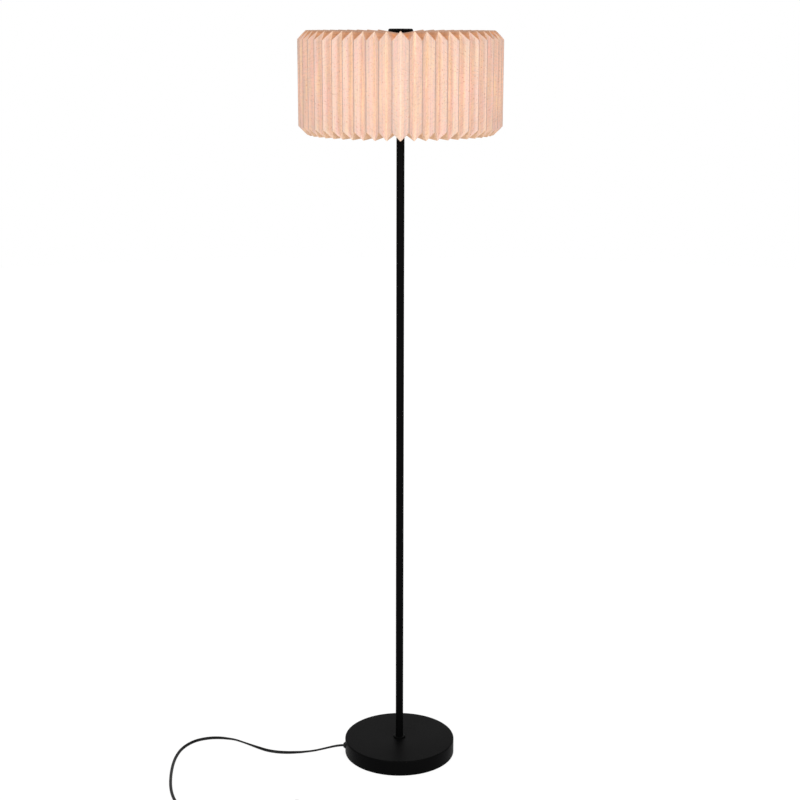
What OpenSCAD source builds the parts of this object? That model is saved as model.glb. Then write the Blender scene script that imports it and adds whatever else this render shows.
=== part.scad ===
// Pleated shade floor lamp: a weighted round base, a pole in three screwed sections, a lampholder with a
// lift-off harp, and a drum shade folded from one pleated sheet that a round cap holds down. Lengths are in
// millimetres, +Z is up, and the origin is at the centre of the face that the lamp stands on.

/* [Base] */
// Diameter of the base cover
base_d = 234; // [180:1:320]
// Height of the base above the floor
base_h = 33; // [30:0.5:60]
// Wall of the pressed steel cover
cover_t = 1.5; // [1:0.1:3]
// Radius of the cover's top edge
cover_round = 3; // [2:0.5:8]
// Thickness of the cast iron weight
weight_t = 15; // [11:0.5:16]
// Thickness of the foam pad under the base
pad_t = 2; // [1:0.5:4]
// Thickness of the bottom plate
plate_t = 2; // [1.5:0.5:3]
// Diameter of the screws that hold the bottom plate
base_screw_d = 4; // [3:0.5:5]
// Radius of the circle that the bottom screws lie on
base_screw_r = 78; // [50:1:82]
// Direction in which the lead leaves the base, in degrees
lead_side = 183; // [0:1:359]
// Height of the lead where it leaves the base
lead_h = 15; // [14:0.5:16]

/* [Pole] */
// Outer diameter of the pole
pole_d = 16; // [13:0.5:25]
// Wall of the pole's tube
pole_t = 1.2; // [0.8:0.1:1.5]
// Length of one pole section
section_l = 427; // [200:1:600]
// Depth of the threaded bush in each end of a section
bush_l = 14; // [8:1:30]
// Diameter of the threaded tubes that join the pole, the base and the lampholder
thread_d = 10; // [9.5:0.5:10.5]
// Bore of the threaded tubes
thread_bore_d = 8; // [7.5:0.1:8.4]
// Diameter of the collar at the pole's foot
collar_d = 26; // [23:0.5:40]
// Height of the collar
collar_h = 3.5; // [2:0.5:10]

/* [Lampholder and bulb] */
// Outer diameter of the lampholder
holder_d = 40; // [38:1:48]
// Height of the holder's cap
holder_cap_h = 16; // [12:1:30]
// Height of the terminal block under the screw shell
block_h = 8; // [6:0.5:14]
// Height of the screw shell
shell_h = 23.5; // [20:0.5:26]
// Height of the centre contact above the terminal block
contact_h = 4.9; // [4:0.1:6]
// Overall length of the bulb
bulb_l = 105; // [95:1:140]
// Diameter of the bulb's globe
bulb_d = 60; // [45:1:70]
// Diameter of the bulb's screw cap
bulb_cap_d = 26.2; // [25.8:0.1:26.8]
// How far the bulb moves up to leave its lampholder
bulb_travel = 22; // [18:1:24]

/* [Harp] */
// Width of the harp between its wires
harp_w = 106; // [90:1:120]
// Diameter of the harp's wire
harp_wire_d = 3.2; // [2.4:0.1:4]
// Width of the saddle between its pegs
saddle_w = 72; // [60:1:84]
// Width of the saddle's steel strip
strip_w = 14; // [12:1:20]
// Thickness of the saddle's steel strip
strip_t = 2; // [1.5:0.5:3]
// Clearance between the raised bulb and the harp
harp_clear = 2; // [1:0.5:10]
// Diameter of the stud that carries the shade
stud_d = 6.2; // [5:0.1:8]

/* [Shade] */
// Diameter over the outer folds
shade_d = 400; // [340:1:500]
// Height over the inner folds
shade_h = 198; // [160:1:300]
// Number of pleats
pleats = 50; // [36:2:64]
// Depth of one pleat at the side of the drum
fold_depth = 17; // [12:0.5:24]
// Thickness of the pleated sheet
sheet_t = 0.6; // [0.4:0.05:0.8]
// How far the closed top falls towards its centre
top_fall = 5; // [2:0.5:10]
// Radius of the hole in the pleated lower end
hole_r = 70; // [66:1:85]
// How far the lower end rises towards its hole
bottom_rise = 3.5; // [1:0.5:10]
// Diameter of the wire ring in the lower hole
ring_d = 2.4; // [1.6:0.2:3]
// Radius of the hub that holds the gathered top
hub_r = 19.7; // [19:0.1:24]
// Width of the hub's flange outside its barrel
flange_w = 7.3; // [4:0.1:12]
// Thickness of the hub's flange
flange_t = 2; // [1.5:0.5:3]

/* [Cap] */
// Largest diameter of the cap
cap_d = 48.6; // [46:0.2:60]
// Height of the cap above the shade's rim
cap_proud = 3; // [2:0.5:8]
// Height of the cap's widest edge above the hub
cap_lip = 2.7; // [2:0.1:4]
// Length of the cap's neck
neck_l = 22; // [18:0.5:24]
// Diameter of the cap's neck
neck_d = 12.4; // [11.5:0.1:14]
// Wall of the threaded insert in the neck
insert_t = 1.05; // [0.8:0.05:1.4]

/* [Cord] */
// Width of the flat twin lead
lead_w = 6.3; // [5:0.1:7]
// Thickness of the flat twin lead
lead_t = 3.8; // [3:0.1:4.4]
// Diameter of the grommet's flange
grommet_d = 14; // [12.5:0.5:16]
// How far the grommet stands out of the base
grommet_out = 4; // [2:0.5:8]
// Radius of the coil at the middle of its turns
coil_r = 31; // [30:0.5:40]
// Turns in each of the coil's two layers
coil_turns = 3; // [2:1:4]
// Clearance between neighbouring turns and layers
coil_gap = 0.6; // [0.5:0.1:1.5]

/* [Foot switch and plug] */
// Length of the foot switch housing
switch_l = 66; // [60:1:80]
// Width of the foot switch housing
switch_w = 30; // [28:1:40]
// Height of the foot switch housing
switch_h = 19; // [18:0.5:24]
// Diameter of the switch button
button_d = 20; // [16:0.5:21]
// Travel of the switch button
button_travel = 3; // [2:0.5:4]
// Length of the tapered strain reliefs on the switch and the plug
relief_l = 22; // [20:1:30]
// Length of the plug's body
plug_l = 36; // [34:0.5:40]
// Width of the plug's body
plug_w = 26; // [25:0.5:30]
// Thickness of the plug's body
plug_t = 13.7; // [13:0.1:16]
// Length of the plug's pins
pin_l = 19; // [17:0.5:20]
// Diameter of the plug's pins
pin_d = 4; // [3.8:0.1:4.2]

/* [Hidden] */
$fn = 96;
// Gap between a piece and the seat that it rests on, and play of one piece around another
seat_gap = 0.3;
play = 0.3;
// Radial play of a threaded fit
thread_play = 0.05;
// A cut runs past the face that it opens by this much
over = 1;

// Base, from the floor up
base_r = base_d / 2;
cover_foot = 0.5;
plate_z = pad_t;
cavity_z = plate_z + plate_t;
weight_top = base_h - cover_t;
weight_z = weight_top - weight_t;
weight_r = base_r - cover_t - 0.7;
pocket_r = 20;
pocket_top = weight_top - weight_t / 2;
washer_t = 1;
nut_t = 4.5;
nut_w = 17;
nut_z = pocket_top - washer_t - nut_t;
nipple_z = nut_z - 1.5;
groove_w = 12;
groove_top = lead_h + 6.5;
screw_angles = [60, 180, 300];
lug_r = 8;

// Pole
pole_z = base_h + collar_h;
pole_top = pole_z + 3 * section_l;
pole_r = pole_d / 2;
thread_r = thread_d / 2;
hole_thread_r = thread_r + 0.2;

// Lampholder, from the pole's top up
holder_z = pole_top + strip_t;
holder_floor = 3;
sleeve_z = holder_z + holder_cap_h;
holder_r = holder_d / 2;
holder_t = 2.2;
ledge_t = 3;
block_z = sleeve_z + ledge_t;
block_top = block_z + block_h;
shell_r = bulb_cap_d / 2 + 0.6;
shell_t = 0.6;
contact_top = block_top + contact_h;
sleeve_top = block_top + shell_h + 1;

// Bulb, from its tip up
tip_z = contact_top + seat_gap;
tip_h = 3;
bulb_cap_h = 22;
collar_z = tip_z + tip_h + bulb_cap_h;
bulb_top = tip_z + bulb_l;
globe_z = bulb_top - bulb_d / 2;
globe_cut = globe_z - bulb_d * 0.28;
globe_cut_r = sqrt(pow(bulb_d / 2, 2) - pow(globe_z - globe_cut, 2));
globe_t = 1.2;

// Harp
saddle_z = pole_top;
peg_r = 1.8;
peg_x = saddle_w / 2;
peg_foot = saddle_z + 16;
peg_top = peg_foot + 12;
sleeve_h = 20;
harp_top = bulb_top + bulb_travel + harp_clear + harp_wire_d;
seat_t = 2;
seat_r = 12;
seat_top = harp_top + seat_t;
stud_top = seat_top + 15;

// Shade, from its hub up
hub_z = seat_top + seat_gap;
barrel_z = hub_z + flange_t;
half_step = 180 / pleats;
outer_r = shade_d / 2;
inner_r = outer_r - fold_depth;
gather_r = hub_r + play;
function fold_gap(r) = 2 * r * sin(half_step / 2);
panel_w = sqrt(pow(outer_r, 2) + pow(inner_r, 2) - 2 * outer_r * inner_r * cos(half_step));
function fan_drop(r) = sqrt(pow(panel_w, 2) - pow(fold_gap(r), 2));
// Thickness of the sheet along the offset of its inner face, where the folds lie close
most_skin = 3;
function skin(r) = min(most_skin, sheet_t * panel_w / fold_gap(r));
ridge_z = barrel_z + seat_gap + skin(gather_r) + fan_drop(gather_r);
rim_z = ridge_z + top_fall;
foot_z = rim_z - shade_h;
crease_run = outer_r * cos(half_step) - inner_r;
top_tilt = atan(top_fall / (inner_r - gather_r));
foot_tilt = atan(bottom_rise / (inner_r - hole_r));
top_corner_drop = crease_run * tan(45 + top_tilt / 2);
foot_corner_rise = crease_run * tan(45 + foot_tilt / 2);
lamp_h = rim_z + cap_proud;
echo(lamp_height = lamp_h, shade_rim = rim_z, sheet_width = shade_h + 2 * inner_r - gather_r - hole_r);

// Cap
cap_z = ridge_z + seat_gap;
neck_r = neck_d / 2;
neck_z = cap_z - neck_l;
stud_r = stud_d / 2;

// Cord: half sizes of the lead and the heights at which it lies
lead_lie = lead_t / 2;
grommet_r = grommet_d / 2;
grommet_neck_r = 4.5;
grommet_tail = 22;
exit_r = base_r + grommet_out;

// Foot switch, at the end of the first run, with its length along X
switch_x = -334;
switch_y = -282;
switch_cord_z = 7;
switch_wall = 2;
switch_split = 9;
switch_round = 4;
relief_r0 = 5.2;
relief_r1 = 3.4;
switch_run_x = switch_x - switch_l / 2 - relief_l;
switch_link_x = switch_x + switch_l / 2 + relief_l;

// Coil: centre, pitch and heights
coil_x = -206;
coil_y = -284;
tie_t = 0.5;
coil_pitch = lead_t + coil_gap;
coil_low = tie_t + seat_gap + lead_w / 2;
coil_high = coil_low + lead_w + coil_gap;
coil_in = coil_r - coil_pitch * coil_turns / 2;
coil_out = coil_r + coil_pitch * coil_turns / 2;
coil_rings = 24;

// Plug, beside the coil and along X
plug_x = -138;
plug_y = coil_y - coil_out;
plug_z = plug_t / 2;

// Points on the cord's way over the floor, from the grommet to the foot switch
run_points = [
    [-exit_r * cos(lead_side - 180), -exit_r * sin(lead_side - 180), lead_h],
    [-128, -6.7, 14.8],
    [-139, -7.3, 13.4],
    [-152, -7.8, 10.6],
    [-166, -8.2, 7.2],
    [-181, -8.8, 4],
    [-198, -10.5, 2.2],
    [-218, -14, lead_lie],
    [-240, -16.5, lead_lie],
    [-262, -14.8, lead_lie],
    [-284, -8, lead_lie],
    [-304, 4, lead_lie],
    [-322, 17, lead_lie],
    [-340, 30.5, lead_lie],
    [-360, 44, lead_lie],
    [-380, 51, lead_lie],
    [-402, 52.5, lead_lie],
    [-424, 48.5, lead_lie],
    [-445, 37.5, lead_lie],
    [-461, 19, lead_lie],
    [-472, -5, lead_lie],
    [-478, -34, lead_lie],
    [-480, -66, lead_lie],
    [-479, -100, lead_lie],
    [-476, -134, lead_lie],
    [-471, -168, lead_lie],
    [-463, -201, lead_lie],
    [-451, -232, lead_lie],
    [-434, -257, lead_lie],
    [-414, -273, 2.4],
    [-401, -279, 4.6],
    [switch_run_x - 6, switch_y, switch_cord_z],
    [switch_run_x - 2, switch_y, switch_cord_z],
    [switch_run_x, switch_y, switch_cord_z]
];
// From the foot switch to the coil, and from the coil to the plug
link_points = [
    [switch_link_x, switch_y, switch_cord_z],
    [switch_link_x + 2, switch_y, switch_cord_z],
    [switch_link_x + 6, switch_y, switch_cord_z],
    [-264, -287.5, 5.6],
    [-251, -299, 4.3],
    [-239, -311, 4],
    [-227, coil_y - coil_out + 2, coil_low],
    [coil_x - lead_w - 4, coil_y - coil_out, coil_low],
    [coil_x - lead_w - 2, coil_y - coil_out, coil_low],
    [coil_x - lead_w, coil_y - coil_out, coil_low]
];
tail_points = [
    [coil_x + lead_w, coil_y - coil_out, coil_high],
    [coil_x + lead_w + 3, coil_y - coil_out, coil_high],
    [coil_x + 17, coil_y - coil_out, 10],
    [plug_x - relief_l - 15, plug_y, 8],
    [plug_x - relief_l - 6, plug_y, plug_z],
    [plug_x - relief_l - 2, plug_y, plug_z],
    [plug_x - relief_l, plug_y, plug_z]
];
// The held lead, from the grommet's face to the terminals: distance from the pole's axis and height
bend_r = 12;
inner_points = [
    [exit_r, lead_h],
    [base_r - cover_t - grommet_tail - 2, lead_h],
    [base_r - 36, lead_h - 1.2],
    [base_r - 50, lead_h - 4.2],
    [base_r - 66, 8.2],
    [34, 7],
    [bend_r, 7],
    [bend_r - bend_r * sin(30), 7 + bend_r * (1 - cos(30))],
    [bend_r - bend_r * sin(60), 7 + bend_r * (1 - cos(60))],
    [0, 7 + bend_r],
    [0, pole_z],
    [0, block_z - seat_gap]
];

// Outlines that several pieces share
function unit(v) = v / norm(v);

// Half section of a disc with a rounded top edge
module disc_section(r, h, f) {
    square([r - f, h]);
    square([r, h - f]);
    translate([r - f, h - f])
        circle(f);
}

// A disc with a rounded top edge
module round_disc(r, h, f) {
    rotate_extrude()
        intersection() {
            disc_section(r, h, f);
            square([r + over, h + over]);
        }
}

// A tube that stands on z
module pipe(r_out, r_in, z, h) {
    translate([0, 0, z])
        difference() {
            cylinder(r = r_out, h = h);
            translate([0, 0, -over])
                cylinder(r = r_in, h = h + 2 * over);
        }
}

// A long rounded block with half-round ends, its length along X
module soft_block(l, w, h, f) {
    for (side = [-1, 1])
        translate([side * (l - w) / 2, 0, 0])
            round_disc(w / 2, h, f);
    translate([-(l - w) / 2, 0, 0])
        rotate([90, 0, 90])
            linear_extrude(l - w)
                for (m = [0, 1])
                    mirror([m, 0, 0])
                        intersection() {
                            disc_section(w / 2, h, f);
                            square([w, h + over]);
                        }
}

// A tapered sleeve from r0 to r1 along +X
module relief(x, y, z, r0, r1) {
    translate([x, y, z])
        rotate([0, 90, 0])
            cylinder(r1 = r0, r2 = r1, h = relief_l);
}

// Smooth curve through points, with n steps from each point to the next
function at(p, i) = p[max(0, min(len(p) - 1, i))];
function between(a, b, c, d, t) =
    0.5 * (2 * b + (c - a) * t + (2 * a - 5 * b + 4 * c - d) * t * t + (3 * b - a - 3 * c + d) * t * t * t);
function curve(p, n) = [
    for (i = [0 : len(p) - 2], s = [0 : n - 1])
        between(at(p, i - 1), p[i], p[i + 1], at(p, i + 2), s / n),
    p[len(p) - 1]
];
function path_l(p) = len(p) < 2 ? 0 : [for (i = 0, s = 0; i < len(p); s = s + norm(at(p, i + 1) - p[i]), i = i + 1) s][len(p) - 1];

// Flat twin lead: outline with eight corners, as shares of its half width and half thickness
flat_outline = [[1, 0.45], [0.62, 1], [-0.62, 1], [-1, 0.45], [-1, -0.45], [-0.62, -1], [0.62, -1], [1, -0.45]];
// The same lead with six corners, for the coil
coil_outline = [[1, 0], [0.6, 1], [-0.6, 1], [-1, 0], [-0.6, -1], [0.6, -1]];
function round_outline(n) = [for (i = [0 : n - 1]) [cos(360 / n * i), sin(360 / n * i)]];

// One ring of a swept tube: side is the direction of its width, turned by roll degrees about the path
function ring(c, t, side, w, h, outline, roll) =
    let (
        s = unit(side - (side * t) * t),
        u = cross(t, s),
        across = cos(roll) * s + sin(roll) * u,
        up = cos(roll) * u - sin(roll) * s
    )
    [for (o = outline) c + o[0] * w / 2 * across + o[1] * h / 2 * up];

// A closed tube along path p; without a given side its width lies level
module swept(p, w, h, outline, side = undef, roll_0 = 0, roll_1 = 0) {
    n = len(p);
    m = len(outline);
    rings = [
        for (i = [0 : n - 1])
            let (
                t = unit(at(p, i + 1) - at(p, i - 1)),
                level = is_undef(side) ? cross([0, 0, 1], t) : side
            )
            each ring(p[i], t, level, w, h, outline, roll_0 + (roll_1 - roll_0) * i / (n - 1))
    ];
    walls = [
        for (i = [0 : n - 2], j = [0 : m - 1])
            let (
                a = i * m + j,
                b = i * m + (j + 1) % m,
                c = a + m,
                d = b + m
            )
            each [[a, b, d], [a, d, c]]
    ];
    first = [for (j = [1 : m - 2]) [0, j + 1, j]];
    last = [for (j = [1 : m - 2]) [(n - 1) * m, (n - 1) * m + j, (n - 1) * m + j + 1]];
    polyhedron(rings, concat(first, walls, last));
}

// Base
module base_pad() {
    color("dimgray")
        cylinder(r = weight_r - play, h = pad_t);
}

module bottom_screw_places() {
    for (a = screw_angles)
        rotate([0, 0, lead_side + a])
            translate([base_screw_r, 0, 0])
                children();
}

module base_plate() {
    color("silver")
        difference() {
            translate([0, 0, plate_z])
                cylinder(r = weight_r + play, h = plate_t);
            bottom_screw_places() {
                translate([0, 0, plate_z - over])
                    cylinder(r = base_screw_d / 2 + play, h = plate_t + 2 * over);
                translate([0, 0, plate_z - over])
                    cylinder(r = base_screw_d + play, h = over + plate_t / 2);
            }
        }
}

module base_screws() {
    color("silver")
        bottom_screw_places() {
            translate([0, 0, plate_z + 0.1])
                cylinder(r = base_screw_d * 0.95, h = plate_t / 2 - 0.1);
            translate([0, 0, plate_z + 0.1])
                cylinder(r = base_screw_d / 2, h = cavity_z - plate_z + 9);
        }
}

module base_weight() {
    color("dimgray")
        difference() {
            union() {
                translate([0, 0, weight_z])
                    round_disc(weight_r, weight_t, cover_round);
                bottom_screw_places()
                    translate([0, 0, cavity_z])
                        cylinder(r = lug_r, h = weight_z - cavity_z + over);
            }
            translate([0, 0, weight_z - over])
                cylinder(r = pocket_r, h = pocket_top - weight_z + over);
            translate([0, 0, weight_z - over])
                cylinder(r = hole_thread_r, h = weight_t + 2 * over);
            rotate([0, 0, lead_side])
                translate([0, -groove_w / 2, weight_z - over])
                    cube([base_r, groove_w, groove_top - weight_z + over]);
            bottom_screw_places()
                translate([0, 0, cavity_z - over])
                    cylinder(r = base_screw_d / 2 + thread_play, h = 10 + over);
        }
}

module base_cover() {
    color("black")
        difference() {
            translate([0, 0, cover_foot])
                round_disc(base_r, base_h - cover_foot, cover_round);
            translate([0, 0, -over])
                round_disc(base_r - cover_t, weight_top + over, cover_round - cover_t / 2);
            translate([0, 0, weight_top - over])
                cylinder(r = hole_thread_r, h = cover_t + 2 * over);
            rotate([0, 0, lead_side])
                translate([base_r - cover_t - 5, 0, lead_h])
                    rotate([0, 90, 0])
                        cylinder(r = grommet_neck_r + 0.1, h = cover_t + 10);
        }
}

module base_nipple() {
    color("silver")
        pipe(thread_r, thread_bore_d / 2, nipple_z, pole_z + bush_l - 1 - nipple_z);
}

module base_washer() {
    color("silver")
        pipe(pocket_r - 5, hole_thread_r, pocket_top - washer_t, washer_t);
}

module base_nut() {
    color("silver")
        translate([0, 0, nut_z])
            difference() {
                cylinder(d = nut_w / cos(30), h = nut_t, $fn = 6);
                translate([0, 0, -over])
                    cylinder(r = thread_r + thread_play, h = nut_t + 2 * over);
            }
}

// A flanged bush with a long tapered tail inside the base, and an oval way through for the lead
module cord_grommet() {
    color("black")
        rotate([0, 0, lead_side])
            translate([0, 0, lead_h])
                difference() {
                    rotate([0, 90, 0]) {
                        translate([0, 0, base_r])
                            cylinder(r1 = grommet_r, r2 = grommet_r - 2, h = grommet_out);
                        translate([0, 0, base_r - cover_t - over])
                            cylinder(r = grommet_neck_r, h = cover_t + over + 0.5);
                        translate([0, 0, base_r - cover_t - grommet_tail])
                            cylinder(r1 = 4.3, r2 = 5.6, h = grommet_tail - 0.2);
                    }
                    translate([0, 0, -lead_h])
                        difference() {
                            cylinder(r = base_r + 0.02, h = base_h);
                            translate([0, 0, -over])
                                cylinder(r = base_r - cover_t - 0.1, h = base_h + 2 * over);
                            translate([0, 0, lead_h])
                                rotate([0, 90, 0])
                                    cylinder(r = grommet_neck_r, h = base_r + over);
                        }
                    lead_way();
                }
}

// Oval way for the lead along +X
module lead_way() {
    r = lead_t / 2 + play;
    w = lead_w / 2 + play - r;
    translate([base_r - cover_t - grommet_tail - over, 0, 0])
        rotate([90, 0, 90])
            linear_extrude(grommet_tail + cover_t + grommet_out + 2 * over) {
                translate([-w, -r])
                    square([2 * w, 2 * r]);
                for (side = [-1, 1])
                    translate([side * w, 0])
                        circle(r);
            }
}

module inner_lead() {
    color("black")
        rotate([0, 0, lead_side])
            swept([for (p = inner_points) [p[0], 0, p[1]]], lead_w, lead_t, flat_outline, side = [0, 1, 0]);
}

// Pole
module pole_collar() {
    dome = 3;
    color("black")
        translate([0, 0, base_h])
            difference() {
                round_disc(collar_d / 2, collar_h, min(dome, collar_h - 0.2));
                translate([0, 0, -over])
                    cylinder(r = hole_thread_r, h = collar_h + 2 * over);
            }
}

module pole_section(z) {
    color("black")
        translate([0, 0, z])
            difference() {
                cylinder(r = pole_r, h = section_l);
                translate([0, 0, bush_l])
                    cylinder(r = pole_r - pole_t, h = section_l - 2 * bush_l);
                translate([0, 0, -over])
                    cylinder(r = thread_r + thread_play, h = section_l + 2 * over);
            }
}

module pole_lower() {
    pole_section(pole_z);
}

module pole_middle() {
    pole_section(pole_z + section_l);
}

module pole_upper() {
    pole_section(pole_z + 2 * section_l);
}

module pole_nipples() {
    color("silver")
        for (i = [1, 2])
            pipe(thread_r, thread_bore_d / 2, pole_z + i * section_l - bush_l + 1, 2 * bush_l - 2);
}

module top_nipple() {
    color("silver")
        pipe(thread_r, thread_bore_d / 2, pole_top - bush_l + 1, bush_l + strip_t + holder_floor + 1);
}

// Lampholder
// A steel strip clamped under the lampholder, turned up at both ends, with a peg on each end
module harp_saddle() {
    bend = 6;
    flat = peg_x - bend - strip_t;
    color("black")
        difference() {
            union() {
                translate([0, strip_w / 2, saddle_z])
                    rotate([90, 0, 0])
                        linear_extrude(strip_w) {
                            translate([-flat, 0])
                                square([2 * flat, strip_t]);
                            for (m = [0, 1])
                                mirror([m, 0]) {
                                    translate([flat, bend + strip_t])
                                        intersection() {
                                            difference() {
                                                circle(bend + strip_t);
                                                circle(bend);
                                            }
                                            translate([0, -bend - strip_t])
                                                square(bend + strip_t);
                                        }
                                    translate([peg_x - strip_t, bend + strip_t])
                                        square([strip_t, peg_foot - saddle_z - bend - strip_t]);
                                }
                        }
                for (side = [-1, 1])
                    translate([side * peg_x, 0, peg_foot - 4])
                        cylinder(r = peg_r, h = peg_top - peg_foot + 4);
            }
            translate([0, 0, saddle_z - over])
                cylinder(r = hole_thread_r, h = strip_t + 2 * over);
        }
}

module holder_cap() {
    foot_r = holder_r - 6;
    color("black")
        translate([0, 0, holder_z])
            rotate_extrude()
                polygon([
                    [hole_thread_r, 0],
                    [foot_r, 0],
                    [foot_r + 3, 1.5],
                    [holder_r, holder_cap_h * 0.6],
                    [holder_r, holder_cap_h],
                    [holder_r - holder_t, holder_cap_h],
                    [holder_r - holder_t, holder_cap_h * 0.6 + 1],
                    [foot_r, holder_floor],
                    [hole_thread_r, holder_floor]
                ]);
}

module holder_sleeve() {
    color("black")
        translate([0, 0, sleeve_z])
            rotate_extrude()
                polygon([
                    [holder_r - 8, 0],
                    [holder_r, 0],
                    [holder_r, sleeve_top - sleeve_z - 1],
                    [holder_r - 1, sleeve_top - sleeve_z],
                    [shell_r + shell_t + 1.6, sleeve_top - sleeve_z],
                    [shell_r + shell_t + 1.6, sleeve_top - sleeve_z - 4],
                    [holder_r - holder_t, sleeve_top - sleeve_z - 7],
                    [holder_r - holder_t, ledge_t],
                    [holder_r - 8, ledge_t]
                ]);
}

module terminal_block() {
    color("ivory")
        translate([0, 0, block_z])
            difference() {
                cylinder(r = holder_r - holder_t - 0.4, h = block_h);
                for (side = [-1, 1])
                    translate([0, side * 8, -over])
                        cylinder(r = 1.6, h = 5 + over);
            }
}

// Brass shell: a short tube with an inward foot and one rolled ridge near its mouth
module screw_shell() {
    color("gold")
        translate([0, 0, block_top])
            rotate_extrude()
                polygon([
                    [9, 0],
                    [shell_r + shell_t, 0],
                    [shell_r + shell_t, shell_h - 2],
                    [shell_r + shell_t + 0.8, shell_h - 1],
                    [shell_r + shell_t + 0.8, shell_h],
                    [shell_r + 0.6, shell_h],
                    [shell_r, shell_h - 2],
                    [shell_r, shell_t],
                    [9, shell_t]
                ]);
}

module centre_contact() {
    color("gold")
        translate([0, 0, block_top])
            union() {
                cylinder(r = 2, h = contact_h - 1);
                translate([-3, -6, contact_h - 1.4])
                    cube([6, 9, 0.8]);
                translate([0, 0, contact_h - 1])
                    cylinder(r1 = 2.6, r2 = 1.8, h = 1);
            }
}

// Bulb
module bulb_globe() {
    r = bulb_d / 2;
    color("white")
        rotate_extrude()
            translate([0, globe_z])
                intersection() {
                    difference() {
                        circle(r);
                        circle(r - globe_t);
                    }
                    translate([0, globe_cut - globe_z])
                        square([r + over, 2 * r]);
                }
}

module bulb_collar() {
    h = globe_cut - collar_z;
    color("white")
        translate([0, 0, collar_z])
            rotate_extrude()
                polygon([
                    [0, 0],
                    [bulb_cap_d / 2 + 0.6, 0],
                    [bulb_cap_d / 2 + 1.6, h * 0.2],
                    [globe_cut_r * 0.8, h * 0.6],
                    [globe_cut_r * 0.95, h * 0.87],
                    [globe_cut_r, h],
                    [globe_cut_r - globe_t - 0.4, h],
                    [globe_cut_r - globe_t - 3, h + 2],
                    [0, h + 2]
                ]);
}

module bulb_cap() {
    color("silver")
        translate([0, 0, tip_z + tip_h])
            rotate_extrude()
                polygon([
                    [0, 0],
                    [8, 0],
                    [bulb_cap_d / 2, 4.5],
                    [bulb_cap_d / 2, bulb_cap_h],
                    [0, bulb_cap_h]
                ]);
}

module bulb_contact() {
    color("silver")
        translate([0, 0, tip_z])
            union() {
                cylinder(r1 = 3.4, r2 = 4.8, h = 1);
                translate([0, 0, 1])
                    cylinder(r1 = 5, r2 = 7.6, h = tip_h - 1);
            }
}

// Harp
// Half of the bow from a peg to the top, as shares of its width and height, mirrored for the other half
function harp_half() =
    let (
        z = peg_top + seat_gap,
        h = harp_top - harp_wire_d / 2 - z,
        out = harp_w / 2 - peg_x
    )
    [
        [peg_x, z],
        [peg_x, z + 0.06 * h],
        [peg_x + 0.18 * out, z + 0.2 * h],
        [peg_x + 0.72 * out, z + 0.38 * h],
        [peg_x + out, z + 0.58 * h],
        [peg_x + 0.84 * out, z + 0.76 * h],
        [peg_x + 0.1 * out, z + 0.91 * h],
        [peg_x * 0.52, z + 0.98 * h],
        [seat_r - 1, z + 0.9975 * h]
    ];

module harp_bow() {
    half = harp_half();
    n = len(half);
    points = concat(
        [for (i = [0 : n - 1]) [-half[i][0], 0, half[i][1]]],
        [for (i = [n - 1 : -1 : 0]) [half[i][0], 0, half[i][1]]]
    );
    color("black")
        swept(curve(points, 3), harp_wire_d, harp_wire_d, round_outline(8), side = [0, 1, 0]);
}

// A sliding sleeve at each foot of the bow, over the wire's end and the saddle's peg
module harp_sleeves() {
    z = peg_foot + 1;
    color("black")
        for (side = [-1, 1])
            translate([side * peg_x, 0, 0])
                difference() {
                    pipe(3.6, peg_r + play, z, sleeve_h);
                    translate([0, 0, z - over])
                        cylinder(r = peg_r + play, h = 1);
                }
}

module harp_seat() {
    color("silver") {
        translate([0, 0, harp_top])
            cylinder(r = seat_r, h = seat_t);
        translate([0, 0, harp_top])
            cylinder(r = stud_r, h = stud_top - harp_top);
    }
}

// Shade
// The eight corners of fold line k: four on the outer face from the hub to the lower hole, four on the inner
function fold_corners(k) =
    let (
        a = -90 + half_step * k,
        tall = k % 2 == 0,
        r = tall ? inner_r : outer_r,
        s = skin(r),
        top = tall ? rim_z : rim_z - top_corner_drop,
        foot = tall ? foot_z : foot_z + foot_corner_rise,
        top_end = ridge_z - (tall ? 0 : fan_drop(gather_r)),
        foot_end = foot_z + bottom_rise + (tall ? 0 : fan_drop(hole_r)),
        outline = [
            [gather_r, top_end],
            [r, top],
            [r, foot],
            [hole_r, foot_end],
            [gather_r, top_end - skin(gather_r)],
            [r - s, top - s],
            [r - s, foot + s],
            [hole_r, foot_end + skin(hole_r)]
        ]
    )
    [for (p = outline) [p[0] * cos(a), p[0] * sin(a), p[1]]];

// One sheet folded all round: the short folds stand out at the side and sink in the closed ends,
// where each panel turns over a slanting crease at its corner
module shade_pleats() {
    lines = 2 * pleats;
    points = [for (k = [0 : lines - 1]) each fold_corners(k)];
    faces = [
        for (k = [0 : lines - 1])
            let (
                a = 8 * k,
                b = 8 * ((k + 1) % lines)
            )
            each concat(
                [for (j = [0 : 2]) each [[a + j, b + j, b + j + 1], [a + j, b + j + 1, a + j + 1]]],
                [for (j = [4 : 6]) each [[a + j, b + j + 1, b + j], [a + j, a + j + 1, b + j + 1]]],
                [[b, a, a + 4], [b, a + 4, b + 4]],
                [[a + 3, b + 3, b + 7], [a + 3, b + 7, a + 7]]
            )
    ];
    color("peachpuff")
        polyhedron(points, faces);
}

// Hub: a barrel that the gathered folds are fixed round, with a flange below them
module shade_hub() {
    color("black")
        difference() {
            union() {
                translate([0, 0, hub_z])
                    cylinder(r = hub_r + flange_w, h = flange_t);
                translate([0, 0, hub_z])
                    cylinder(r = hub_r, h = ridge_z - hub_z);
            }
            translate([0, 0, hub_z - over])
                cylinder(r = stud_r + play, h = flange_t + 2 * over);
            translate([0, 0, barrel_z])
                cylinder(r = neck_r + play, h = ridge_z - barrel_z + over);
        }
}

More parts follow.
